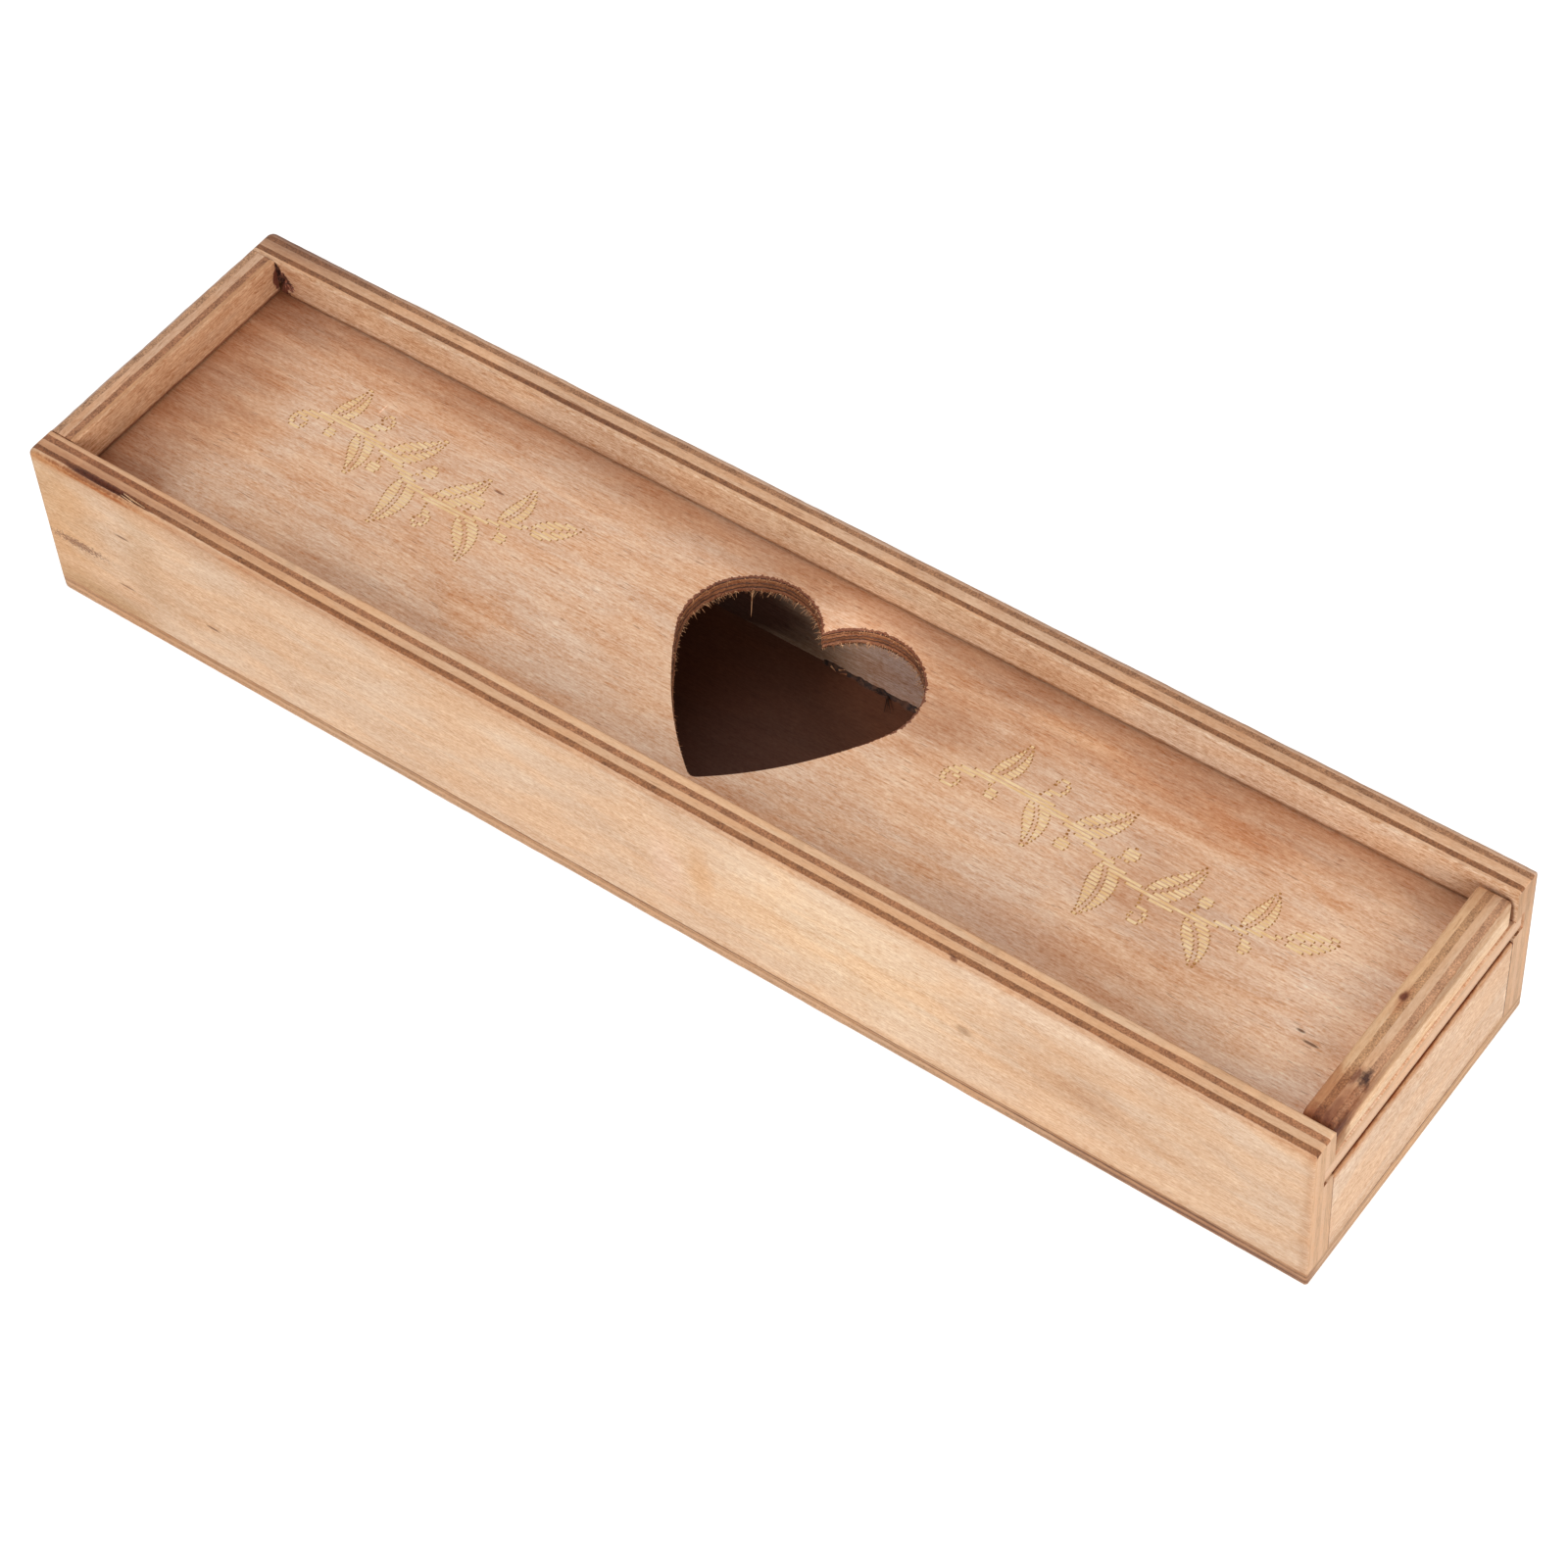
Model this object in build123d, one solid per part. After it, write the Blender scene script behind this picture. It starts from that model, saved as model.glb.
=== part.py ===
from build123d import *
import math
import os

# Wooden keepsake box with a sliding lid, made of glued plywood.
# Millimetres. +X points to the near end, where the lid slides out, +Y to the back side
# and +Z up. The origin is the middle of the footprint, on the surface the box stands on.

# Overall size
length = 220.0
width = 55.0
height = 30.0

# Plywood thicknesses
board = 5.0
bottom_ply = 2.8
lid_ply = 3.0

# Heights measured down from the rim of the sides
lid_recess = 6.5
strip_drop = 0.7

# Groove that carries the lid, in both sides and the far end
groove_depth = 2.4
play_below_lid = 0.2
play_above_lid = 0.3
lid_edge_gap = 0.4

# Open end
near_end_gap = 0.9
lid_end_setback = 0.2
strip_setback = 0.6
strip_side_gap = 0.4

# Sanded edges
outer_round = 0.9
rim_round = 0.35
lid_end_round = 0.3
strip_corner_round = 1.5
strip_edge_round = 0.5

# Heart window in the lid, its axis along Y and its tip towards the front side
heart_offset = 4.0
heart_height = 35.7
lobe_radius = 9.5
lobe_spacing = 19.1
notch_angle = 43.0
flank_radius = 52.0
tip_radius = 1.3

# Places worked out from the sizes above
half_length = length / 2
half_width = width / 2
inner_width = width - 2 * board
lid_top = height - lid_recess
lid_underside = lid_top - lid_ply
groove_floor = lid_underside - play_below_lid
groove_ceiling = lid_top + play_above_lid
near_end_top = lid_underside - near_end_gap


def sanded_envelope():
    """Outside of the glued box: it is sanded as one, so its boards share these round edges."""
    block = Pos(0, 0, height / 2) * Box(length, width, height)
    return fillet(block.edges(), outer_round)


def grooved_section():
    """Section of a grooved wall. X is 0 at the outer face and board at the inner face, Y is height."""
    wall = Pos(board / 2, (bottom_ply + height) / 2) * Rectangle(board, height - bottom_ply)
    groove_size = Rectangle(groove_depth, groove_ceiling - groove_floor)
    groove = Pos(board - groove_depth / 2, (groove_floor + groove_ceiling) / 2) * groove_size
    section = wall - groove
    rim_corner = section.vertices().sort_by_distance((board, height, 0))[0]
    return fillet(rim_corner, rim_round)


def front_side():
    """Long wall at the front. Its groove runs out at both ends, as a sawn groove does."""
    far_corner = Plane((-half_length, -half_width, 0), x_dir=(0, 1, 0), z_dir=(1, 0, 0))
    wall = extrude(far_corner * grooved_section(), length)
    return wall & sanded_envelope()


def back_side():
    """Long wall at the back, the mirror image of the front one."""
    return mirror(front_side(), about=Plane.XZ)


def far_end():
    """Full-height end between the sides, with the same groove for the lid's far edge."""
    back_corner = Plane((-half_length, inner_width / 2, 0), x_dir=(1, 0, 0), z_dir=(0, -1, 0))
    wall = extrude(back_corner * grooved_section(), inner_width)
    return wall & sanded_envelope()


def near_end():
    """Low end between the sides. The lid slides out over it."""
    wall_height = near_end_top - bottom_ply
    middle = Pos(half_length - board / 2, 0, bottom_ply + wall_height / 2)
    wall = middle * Box(board, inner_width, wall_height)
    top_edges = wall.edges().filter_by(Axis.Y).group_by(Axis.Z)[-1]
    return fillet(top_edges, rim_round)


def bottom_panel():
    """Thin panel glued under the four walls."""
    panel = Pos(0, 0, bottom_ply / 2) * Box(length, width, bottom_ply)
    return panel & sanded_envelope()


def heart_outline():
    """Heart in tangent lines and arcs, centred on the origin, with its tip at -Y."""
    lobe = Vector(lobe_spacing / 2, heart_height / 2 - lobe_radius)
    tip = Vector(0, tip_radius - heart_height / 2)
    rise = Vector(1, 0).rotate(Axis.Z, notch_angle)
    lobe_start = lobe + rise.rotate(Axis.Z, 90) * lobe_radius
    notch = lobe_start - rise * (lobe_start.X / rise.X)

    # The flank arc holds both the lobe's circle and the tip's, and touches each from inside.
    lobe_to_tip = tip - lobe
    from_lobe = flank_radius - lobe_radius
    from_tip = flank_radius - tip_radius
    along = (lobe_to_tip.length**2 + from_lobe**2 - from_tip**2) / (2 * lobe_to_tip.length)
    across = math.sqrt(from_lobe**2 - along**2)
    down = lobe_to_tip.normalized()
    flank = lobe + down * along + down.rotate(Axis.Z, -90) * across
    lobe_end = flank + (lobe - flank).normalized() * flank_radius
    tip_start = flank + (tip - flank).normalized() * flank_radius

    run_in = Line(notch, lobe_start)
    lobe_arc = TangentArc(lobe_start, lobe_end, tangent=rise)
    flank_arc = TangentArc(lobe_end, tip_start, tangent=lobe_arc % 1)
    tip_arc = TangentArc(tip_start, tip - Vector(0, tip_radius), tangent=flank_arc % 1)
    half = Curve() + [run_in, lobe_arc, flank_arc, tip_arc]
    return make_face(half + mirror(half, about=Plane.YZ))


def lid_panel():
    """Sliding lid with its heart window. Three of its edges run in the groove."""
    far_edge = -half_length + board - groove_depth + lid_edge_gap
    near_edge = half_length - lid_end_setback
    panel_width = inner_width + 2 * (groove_depth - lid_edge_gap)
    middle = Pos((far_edge + near_edge) / 2, 0, lid_underside + lid_ply / 2)
    panel = middle * Box(near_edge - far_edge, panel_width, lid_ply)
    end_edges = panel.edges().filter_by(Axis.Y).group_by(Axis.X)[-1]
    panel = fillet(end_edges, lid_end_round)
    window = extrude(Pos(heart_offset, 0, lid_underside) * heart_outline(), lid_ply)
    return panel - window


def lid_strip():
    """Finger strip glued on the lid at the open end, with its top corners rounded off."""
    strip_width = inner_width - 2 * strip_side_gap
    strip_height = lid_recess - strip_drop
    end_face = Rectangle(strip_width, strip_height)
    end_face = fillet(end_face.vertices().group_by(Axis.Y)[-1], strip_corner_round)
    inner_face = Plane(
        (half_length - strip_setback - board, 0, lid_top + strip_height / 2),
        x_dir=(0, 1, 0),
        z_dir=(1, 0, 0),
    )
    strip = extrude(inner_face * end_face, board)
    top_edges = strip.edges().filter_by(Axis.Y).group_by(Axis.Z)[-1]
    return fillet(top_edges, strip_edge_round)


nodes = [front_side, back_side, far_end, near_end, bottom_panel, lid_panel, lid_strip]

os.makedirs("parts", exist_ok=True)
for node in nodes:
    export_step(node(), f"parts/{node.__name__}.step")
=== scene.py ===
import bmesh
import bpy
import math
import random
from mathutils import Matrix, Quaternion, Vector, noise


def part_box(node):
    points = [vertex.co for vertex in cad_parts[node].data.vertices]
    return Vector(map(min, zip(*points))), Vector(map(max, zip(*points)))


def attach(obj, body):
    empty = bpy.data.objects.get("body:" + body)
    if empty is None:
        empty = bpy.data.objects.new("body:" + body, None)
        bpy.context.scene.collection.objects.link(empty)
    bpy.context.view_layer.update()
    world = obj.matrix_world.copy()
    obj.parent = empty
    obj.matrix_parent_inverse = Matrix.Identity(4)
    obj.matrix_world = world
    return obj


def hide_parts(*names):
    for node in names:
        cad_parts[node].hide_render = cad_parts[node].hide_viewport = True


# Looks of a wooden keepsake box with a sliding lid: bare plywood, scorched here and there.
# Lengths named below are in millimetres, and pieces are made in millimetres and then scaled
# to metres. The box lies along X, its front side at -Y, and its lid slides out towards +X.

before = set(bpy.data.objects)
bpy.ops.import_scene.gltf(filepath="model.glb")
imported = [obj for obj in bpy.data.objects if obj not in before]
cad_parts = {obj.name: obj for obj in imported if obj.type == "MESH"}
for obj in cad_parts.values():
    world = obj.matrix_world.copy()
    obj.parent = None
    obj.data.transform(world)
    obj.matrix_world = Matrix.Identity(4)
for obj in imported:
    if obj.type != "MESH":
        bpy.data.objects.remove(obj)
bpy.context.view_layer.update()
MM = 0.001


def node_box(name):
    """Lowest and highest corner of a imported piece, in millimetres."""
    low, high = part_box(name)
    return low / MM, high / MM


# Places taken from the frame
side_low, side_high = node_box("front_side")
near_high = node_box("near_end")[1]
bottom_low, bottom_high = node_box("bottom_panel")
lid_low, lid_high = node_box("lid_panel")
strip_low, strip_high = node_box("lid_strip")
half_length = side_high.x
half_width = -side_low.y
rim = side_high.z
board = side_high.y - side_low.y
inner_half = half_width - board
inner_end = half_length - board
base_top = bottom_high.z
lid_top = lid_high.z
lid_thickness = lid_top - lid_low.z

# Sizes that the frame's boxes don't give
GROOVE_DEPTH = 2.4
GROOVE_FLOOR = lid_low.z - 0.2
GROOVE_CEILING = lid_top + 0.3
OUTER_ROUND = 0.9
CORNER_ROUND = 0.4
SAWN_ROUND = 0.3
RIM_ROUND = 0.35
STRIP_CORNER_ROUND = 1.5
STRIP_EDGE_ROUND = 0.5
LID_END_ROUND = 0.3
EASED = 0.05

# Where each board stands: its quarter turns about Z, how far out its outer face is, and whether
# it lies flat
FRONT = (0, half_width)
BACK = (2, half_width)
FAR_END = (-1, half_length)
NEAR_END = (1, half_length)
STRIP = (1, strip_high.x)
LID = (0, lid_top, True)
BOTTOM = (0, base_top, True)


# Node trees

class Tree:
    """A shader node tree, with short calls for the nodes that the finishes use."""

    def __init__(self, tree):
        self.tree = tree

    def add(self, kind, inputs=None, **settings):
        node = self.tree.nodes.new(kind)
        for name, value in settings.items():
            setattr(node, name, value)
        for name, value in (inputs or {}).items():
            self.put(node.inputs[name], value)
        return node

    def put(self, socket, value):
        """Links a socket to another node's output, or sets the value on it."""
        if isinstance(value, bpy.types.NodeSocket):
            self.tree.links.new(value, socket)
        elif socket.type == "RGBA" and len(value) == 3:
            socket.default_value = (*value, 1)
        else:
            socket.default_value = value

    def math(self, operation, *values, clamp=False):
        node = self.add("ShaderNodeMath", operation=operation, use_clamp=clamp)
        for socket, value in zip(node.inputs, values):
            self.put(socket, value)
        return node.outputs[0]

    def about_zero(self, pattern):
        """A pattern of 0 to 1, lowered to swing about zero."""
        return self.math("SUBTRACT", pattern, 0.5)

    def vector_math(self, operation, *values):
        node = self.add("ShaderNodeVectorMath", operation=operation)
        for socket, value in zip(node.inputs, values):
            self.put(socket, value)
        return node.outputs["Value" if operation == "LENGTH" else "Vector"]

    def noise(self, place, pace, detail=2.0, roughness=0.5, distortion=0.0):
        """Noise over a place. Pace is how often it changes in a millimetre along each axis."""
        inputs = {
            "Vector": self.vector_math("MULTIPLY", place, pace), "Scale": 1.0, "Detail": detail,
            "Roughness": roughness, "Distortion": distortion,
        }
        return self.add("ShaderNodeTexNoise", inputs).outputs[0]

    def spread(self, value, low, high, to_low=0.0, to_high=1.0):
        """Value from low to high, smoothly, as to_low to to_high."""
        node = self.add("ShaderNodeMapRange", interpolation_type="SMOOTHSTEP")
        for socket, number in zip(node.inputs, (value, low, high, to_low, to_high)):
            self.put(socket, number)
        return node.outputs[0]

    def mix(self, factor, a, b, blend="MIX"):
        inputs = {0: factor, 6: a, 7: b}
        return self.add("ShaderNodeMix", inputs, data_type="RGBA", blend_type=blend).outputs[2]

    def ramp(self, factor, stops):
        node = self.add("ShaderNodeValToRGB")
        elements = node.color_ramp.elements
        while len(elements) < len(stops):
            elements.new(0.5)
        for element, (place, colour) in zip(elements, stops):
            element.position = place
            element.color = (*colour, 1)
        self.put(node.inputs[0], factor)
        return node.outputs[0]

    def group(self, group, **inputs):
        node = self.add("ShaderNodeGroup")
        node.node_tree = group
        for name, value in inputs.items():
            self.put(node.inputs[name], value)
        return node.outputs


def node_group(name, inputs, outputs):
    """A shader node group. Inputs are names with a value, outputs are names with a socket type."""
    group = bpy.data.node_groups.new(name, "ShaderNodeTree")
    kinds = {float: "NodeSocketFloat", tuple: "NodeSocketVector", list: "NodeSocketColor"}
    for label, value in inputs.items():
        socket = group.interface.new_socket(label, in_out="INPUT", socket_type=kinds[type(value)])
        socket.default_value = (*value, 1) if isinstance(value, list) else value
    for label, kind in outputs.items():
        group.interface.new_socket(label, in_out="OUTPUT", socket_type=kind)
    tree = Tree(group)
    return tree, tree.add("NodeGroupInput").outputs, tree.add("NodeGroupOutput").inputs


def new_material(name):
    """A material with its tree and its shader."""
    material = bpy.data.materials.new(name)
    material.use_nodes = True
    return material, Tree(material.node_tree), material.node_tree.nodes["Principled BSDF"]


def srgb(red, green, blue):
    """A colour as read off a screen, 0 to 255, as the linear one that a shader takes."""
    def linear(level):
        level /= 255
        return level / 12.92 if level <= 0.04045 else ((level + 0.055) / 1.055) ** 2.4
    return (linear(red), linear(green), linear(blue))


# Wood patterns
# Each reads a board's own millimetres: X along the face grain, Y the depth from its outer
# face and Z across the grain.

def long_grain_group():
    """Veneer whose fibres run along X: streaks, fibres, flecks, dark pores and soft clouds."""
    inputs = {
        "Board": (0.0, 0.0, 0.0), "Streaks": 0.5, "Fibres": 0.6, "Flecks": 0.6, "Pores": 0.3,
        "Clouds": 0.4, "Strength": 1.0, "Dark": [0.66, 0.45, 0.27], "Light": [1.34, 1.55, 1.73],
        "Warm": [1.02, 0.975, 0.92], "Cool": [0.98, 1.01, 1.05], "Pore": [0.45, 0.30, 0.22],
    }
    outputs = {"Tint": "NodeSocketColor", "Tone": "NodeSocketFloat", "Height": "NodeSocketFloat"}
    t, given, out = node_group("long_grain", inputs, outputs)
    place = given["Board"]
    bend = t.noise(place, (0.02, 0.1, 0.06))
    shift = t.add("ShaderNodeCombineXYZ", {"Z": t.math("MULTIPLY", bend, 2.5)}).outputs[0]
    wavy = t.vector_math("ADD", place, shift)
    streak = t.noise(wavy, (0.06, 0.5, 0.5), 5.0, 0.6, 0.5)
    fibre = t.noise(wavy, (0.3, 2.4, 3.0), 4.0, 0.75, 0.2)
    fleck = t.noise(place, (1.0, 3.2, 3.8), 3.0, 0.75)
    cloud = t.noise(place, (0.035, 0.2, 0.1), 3.0, 0.55, 0.4)
    hue = t.noise(wavy, (0.05, 0.3, 0.16), 4.0, 0.55, 0.6)
    pore = t.noise(wavy, (0.3, 2.2, 3.6))

    tone = t.math("MULTIPLY", t.about_zero(streak), given["Streaks"])
    for pattern, share in ((fibre, "Fibres"), (fleck, "Flecks"), (cloud, "Clouds")):
        tone = t.math("MULTIPLY_ADD", t.about_zero(pattern), given[share], tone)
    tone = t.math("MULTIPLY_ADD", tone, given["Strength"], 0.5, clamp=True)
    tint = t.mix(tone, given["Dark"], given["Light"])
    tint = t.mix(1.0, tint, t.mix(t.spread(hue, 0.36, 0.64), given["Cool"], given["Warm"]), "MULTIPLY")
    tint = t.mix(t.math("MULTIPLY", t.spread(pore, 0.63, 0.70), given["Pores"]), tint, given["Pore"])
    t.put(out["Tint"], tint)
    t.put(out["Tone"], tone)
    grain = t.math("MULTIPLY_ADD", fibre, 0.6, t.math("MULTIPLY", fleck, 0.5))
    t.put(out["Height"], t.math("MULTIPLY_ADD", streak, 0.35, grain))
    return t.tree


def end_grain_group():
    """Crossband whose fibres run along Z: stippled where it is cut across."""
    inputs = {
        "Board": (0.0, 0.0, 0.0), "Contrast": 0.6,
        "Dark": [0.30, 0.24, 0.20], "Light": [1.70, 1.76, 1.80],
    }
    outputs = {"Tint": "NodeSocketColor", "Height": "NodeSocketFloat"}
    t, given, out = node_group("end_grain", inputs, outputs)
    dots = t.noise(given["Board"], (4.0, 4.5, 0.35), 3.0, 0.75)
    patch = t.noise(given["Board"], (0.35, 0.8, 0.3), 3.0, 0.6)
    tone = t.math("MULTIPLY_ADD", t.about_zero(patch), 0.4, t.about_zero(dots))
    tone = t.math("MULTIPLY", tone, given["Contrast"])
    tone = t.math("MULTIPLY_ADD", tone, 2.2, 0.5, clamp=True)
    t.put(out["Tint"], t.mix(tone, given["Dark"], given["Light"]))
    t.put(out["Height"], dots)
    return t.tree


def stain_and_shade_group():
    """Mask of one soft-edged spot, centred on a place on the board."""
    inputs = {
        "Board": (0.0, 0.0, 0.0), "Centre": (0.0, 0.0, 0.0), "Reach": (1.0, 1.0, 1.0),
        "Ragged": 0.5, "Soft": 0.6, "Grain": (0.4, 1.0, 1.2),
    }
    t, given, out = node_group("stain_and_shade", inputs, {"Mask": "NodeSocketFloat"})
    offset = t.vector_math("SUBTRACT", given["Board"], given["Centre"])
    far = t.vector_math("LENGTH", t.vector_math("DIVIDE", offset, given["Reach"]))
    rough = t.about_zero(t.noise(given["Board"], given["Grain"], 3.0, 0.6))
    far = t.math("MULTIPLY_ADD", rough, t.math("MULTIPLY", given["Ragged"], 2.0), far)
    inner = t.math("SUBTRACT", 1.0, given["Soft"])
    outer = t.math("ADD", inner, t.math("MULTIPLY", given["Soft"], 1.3))
    t.put(out["Mask"], t.spread(far, inner, outer, 1.0, 0.0))
    return t.tree


long_grain = long_grain_group()
end_grain = end_grain_group()
stain_and_shade = stain_and_shade_group()

# The depths between which a face's full grain fades, the width over which two layers blend, and
# how high grain and torn wood stand
SKIN, DEEP_SKIN = 0.1, 0.4
GLUE_LINE = 0.08
GRAIN_RELIEF = 0.08
TORN_RELIEF = 0.04


def board_place(t, quarter_turns, outer, flat=False):
    """A board's own millimetres from the object's metres. Outer is how far its outer face is out."""
    turn = (math.radians(90), 0, 0) if flat else (0, 0, math.radians(-90 * quarter_turns))
    inputs = {
        "Vector": t.add("ShaderNodeTexCoord").outputs["Object"],
        "Location": (0, outer, 0), "Rotation": turn, "Scale": (1 / MM, 1 / MM, 1 / MM),
    }
    return t.add("ShaderNodeMapping", inputs).outputs[0]


def wood(name, place, thickness, layers, grain, stains_and_painted_light=(), waver=0.18, stipple=0.95, within=0.45,
         drift=None):
    """Plywood finish. Layers are (depth, colour, grain) from the outer face inwards.

    Waver is how far, in millimetres, the glue lines between the layers wander. Stipple is the
    contrast of the crossbands. Within is the share of the faces' grain that the edges show.
    Drift says between which places along the board the layers move inwards, and how far.
    """
    material, t, shader = new_material(name)
    spot = board_place(t, *place)
    axes = t.add("ShaderNodeSeparateXYZ", {0: spot}).outputs
    depth = axes["Y"]
    outer_face = t.spread(depth, SKIN, DEEP_SKIN, 1.0, 0.0)
    inner_face = t.spread(depth, thickness - DEEP_SKIN, thickness - SKIN)
    on_face = t.math("MAXIMUM", outer_face, inner_face)
    wobble = t.noise(spot, (0.12, 0.3, 0.3), 4.0, 0.6)
    ragged = t.noise(spot, (1.6, 0.5, 1.6), 3.0, 0.7)
    depth = t.math("MULTIPLY_ADD", t.about_zero(wobble), waver, depth)
    depth = t.math("MULTIPLY_ADD", t.about_zero(ragged), waver * 0.7, depth)
    if drift:
        depth = t.math("SUBTRACT", depth, t.spread(axes["X"], *drift))
    share = t.math("DIVIDE", depth, thickness)
    edge = GLUE_LINE / 2 / thickness
    colours, longs = [], []
    for number, (start, colour, long) in enumerate(layers):
        stop = layers[number + 1][0] if number + 1 < len(layers) else thickness
        for at in (max(start / thickness + edge, 0), min(stop / thickness - edge, 1)):
            colours.append((at, colour))
            longs.append((at, (long, long, long)))
    base = t.ramp(share, colours)
    is_long = t.ramp(share, longs)

    along = t.group(long_grain, Board=spot, Strength=t.spread(on_face, 0, 1, within, 1.0), **grain)
    across = t.group(end_grain, Board=spot, Contrast=stipple)
    tint = t.mix(is_long, across["Tint"], along["Tint"])
    colour = t.mix(1.0, base, tint, "MULTIPLY")
    for paint, strength, spread in stains_and_painted_light:
        mask = t.math("MULTIPLY", t.group(stain_and_shade, Board=spot, **spread)["Mask"], strength)
        colour = t.mix(mask, colour, paint, "MULTIPLY")
    t.put(shader.inputs["Base Color"], colour)

    stipple_height = t.math("MULTIPLY", across["Height"], 0.8)
    heights = {0: is_long, 2: stipple_height, 3: along["Height"]}
    height = t.add("ShaderNodeMix", heights, data_type="FLOAT").outputs[0]
    bump = {"Height": height, "Distance": GRAIN_RELIEF * MM, "Strength": 1.0}
    t.put(shader.inputs["Normal"], t.add("ShaderNodeBump", bump).outputs[0])
    t.put(shader.inputs["Roughness"], t.spread(along["Tone"], 0.0, 1.0, 0.72, 0.5))
    shader.inputs["Specular IOR Level"].default_value = 0.35
    return material


# Colours of the wood
HONEY = srgb(227, 189, 155)
PALE = srgb(228, 182, 143)
TAN = srgb(214, 170, 132)
CROSSBAND = srgb(155, 103, 66)
BROWN_BAND = srgb(170, 115, 78)
LID_BROWN = srgb(231, 186, 152)
UMBER = srgb(105, 68, 46)

CALM_GRAIN = {"Streaks": 0.5, "Fibres": 0.85, "Flecks": 1.3, "Pores": 0.3, "Clouds": 0.4}
RAISED_GRAIN = {"Streaks": 1.0, "Fibres": 1.6, "Flecks": 2.0, "Pores": 0.5, "Clouds": 0.6}
CUT_GRAIN = {"Streaks": 0.15, "Fibres": 0.5, "Flecks": 0.9, "Pores": 0.2, "Clouds": 0.2}
WINDOW_GRAIN = {"Streaks": 1.0, "Fibres": 1.5, "Flecks": 1.5, "Clouds": 1.2}
LIVELY_GRAIN = {
    "Streaks": 0.85, "Fibres": 1.35, "Flecks": 1.5, "Pores": 0.6, "Clouds": 0.5,
    "Dark": (0.74, 0.47, 0.25), "Light": (1.26, 1.54, 1.75),
}

# Layers: the depth at which each starts, its colour, and whether its grain runs along or across
CROSS, LONG = range(2)
WALL_LAYERS = [
    (0.0, HONEY, LONG), (0.4, CROSSBAND, CROSS), (1.3, srgb(226, 177, 136), LONG),
    (2.5, BROWN_BAND, CROSS), (3.52, srgb(232, 187, 147), LONG),
]
BACK_LAYERS = [
    (0.0, srgb(216, 175, 144), LONG), (1.04, srgb(168, 119, 84), CROSS),
    (1.94, srgb(222, 174, 136), LONG), (3.44, srgb(146, 95, 60), CROSS),
    (4.34, srgb(226, 177, 138), LONG),
]
END_LAYERS = [
    (0.0, srgb(205, 168, 144), LONG), (0.75, srgb(190, 143, 108), CROSS),
    (1.75, srgb(218, 170, 134), LONG), (3.05, srgb(164, 111, 77), CROSS),
    (4.12, srgb(197, 146, 106), LONG),
]
STRIP_LAYERS = [
    (0.0, HONEY, LONG), (0.15, srgb(190, 141, 106), CROSS), (1.25, srgb(220, 175, 137), LONG),
    (2.45, srgb(194, 145, 104), CROSS), (3.55, srgb(228, 183, 141), LONG),
]
BOTTOM_LAYERS = [
    (0.0, srgb(206, 162, 124), LONG), (0.4, srgb(188, 144, 106), CROSS),
    (0.9, srgb(214, 170, 132), LONG), (1.5, srgb(198, 154, 116), CROSS),
    (2.1, srgb(208, 166, 132), LONG),
]
LID_LAYERS = [(0.0, LID_BROWN, LONG), (0.6, BROWN_BAND, CROSS), (2.4, LID_BROWN, LONG)]
CUT_ACROSS_LAYERS = [
    (0.0, TAN, CROSS), (0.5, PALE, LONG), (1.35, TAN, CROSS), (2.6, PALE, LONG), (3.55, TAN, CROSS),
]
LID_CUT_LAYERS = [
    (0.0, srgb(222, 180, 144), CROSS), (0.7, srgb(234, 190, 154), LONG), (2.3, TAN, CROSS),
    (2.85, UMBER, CROSS),
]
WINDOW_LAYERS = [
    (0.0, srgb(128, 76, 52), LONG), (0.1, srgb(70, 40, 28), LONG), (0.32, srgb(168, 110, 72), LONG),
    (0.62, srgb(84, 50, 34), LONG), (0.78, srgb(154, 98, 64), LONG), (1.2, srgb(90, 54, 36), CROSS),
    (1.42, srgb(146, 92, 60), CROSS), (1.95, srgb(82, 48, 33), CROSS),
    (2.2, srgb(134, 84, 55), LONG), (2.75, srgb(62, 36, 26), LONG),
]

# Stains and marks, and painted light and shade
FAR_REACH = 400.0


def mark(x, depth, z, reach, colour, strength=1.0, soft=0.8, ragged=0.25, grain=(0.1, 0.6, 0.6)):
    """One mark, for real marks and for painted light and shade alike: its centre and reach in a board's
    own millimetres, multiplied into the wood.
    """
    spread = {
        "Centre": (x, depth, z), "Reach": reach, "Soft": soft, "Ragged": ragged, "Grain": grain,
    }
    return colour, strength, spread


def inner_face_marks(tint):
    """The face that looks into the box is browner; painted shade greys it below the lid and darkens the
    gap above the lid.
    """
    return [
        mark(0, board, rim / 2, (FAR_REACH, 0.5, FAR_REACH), tint, 1.0, 0.9, 0.1),
        mark(0, board, base_top, (FAR_REACH, 2.0, 19.0), (0.72, 0.70, 0.70), 1.0, 0.3, 0.1),
        mark(0, board, GROOVE_CEILING, (FAR_REACH, 0.9, 0.5), (0.62, 0.48, 0.40), 1.0, 0.7, 0.2),
    ]


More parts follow.
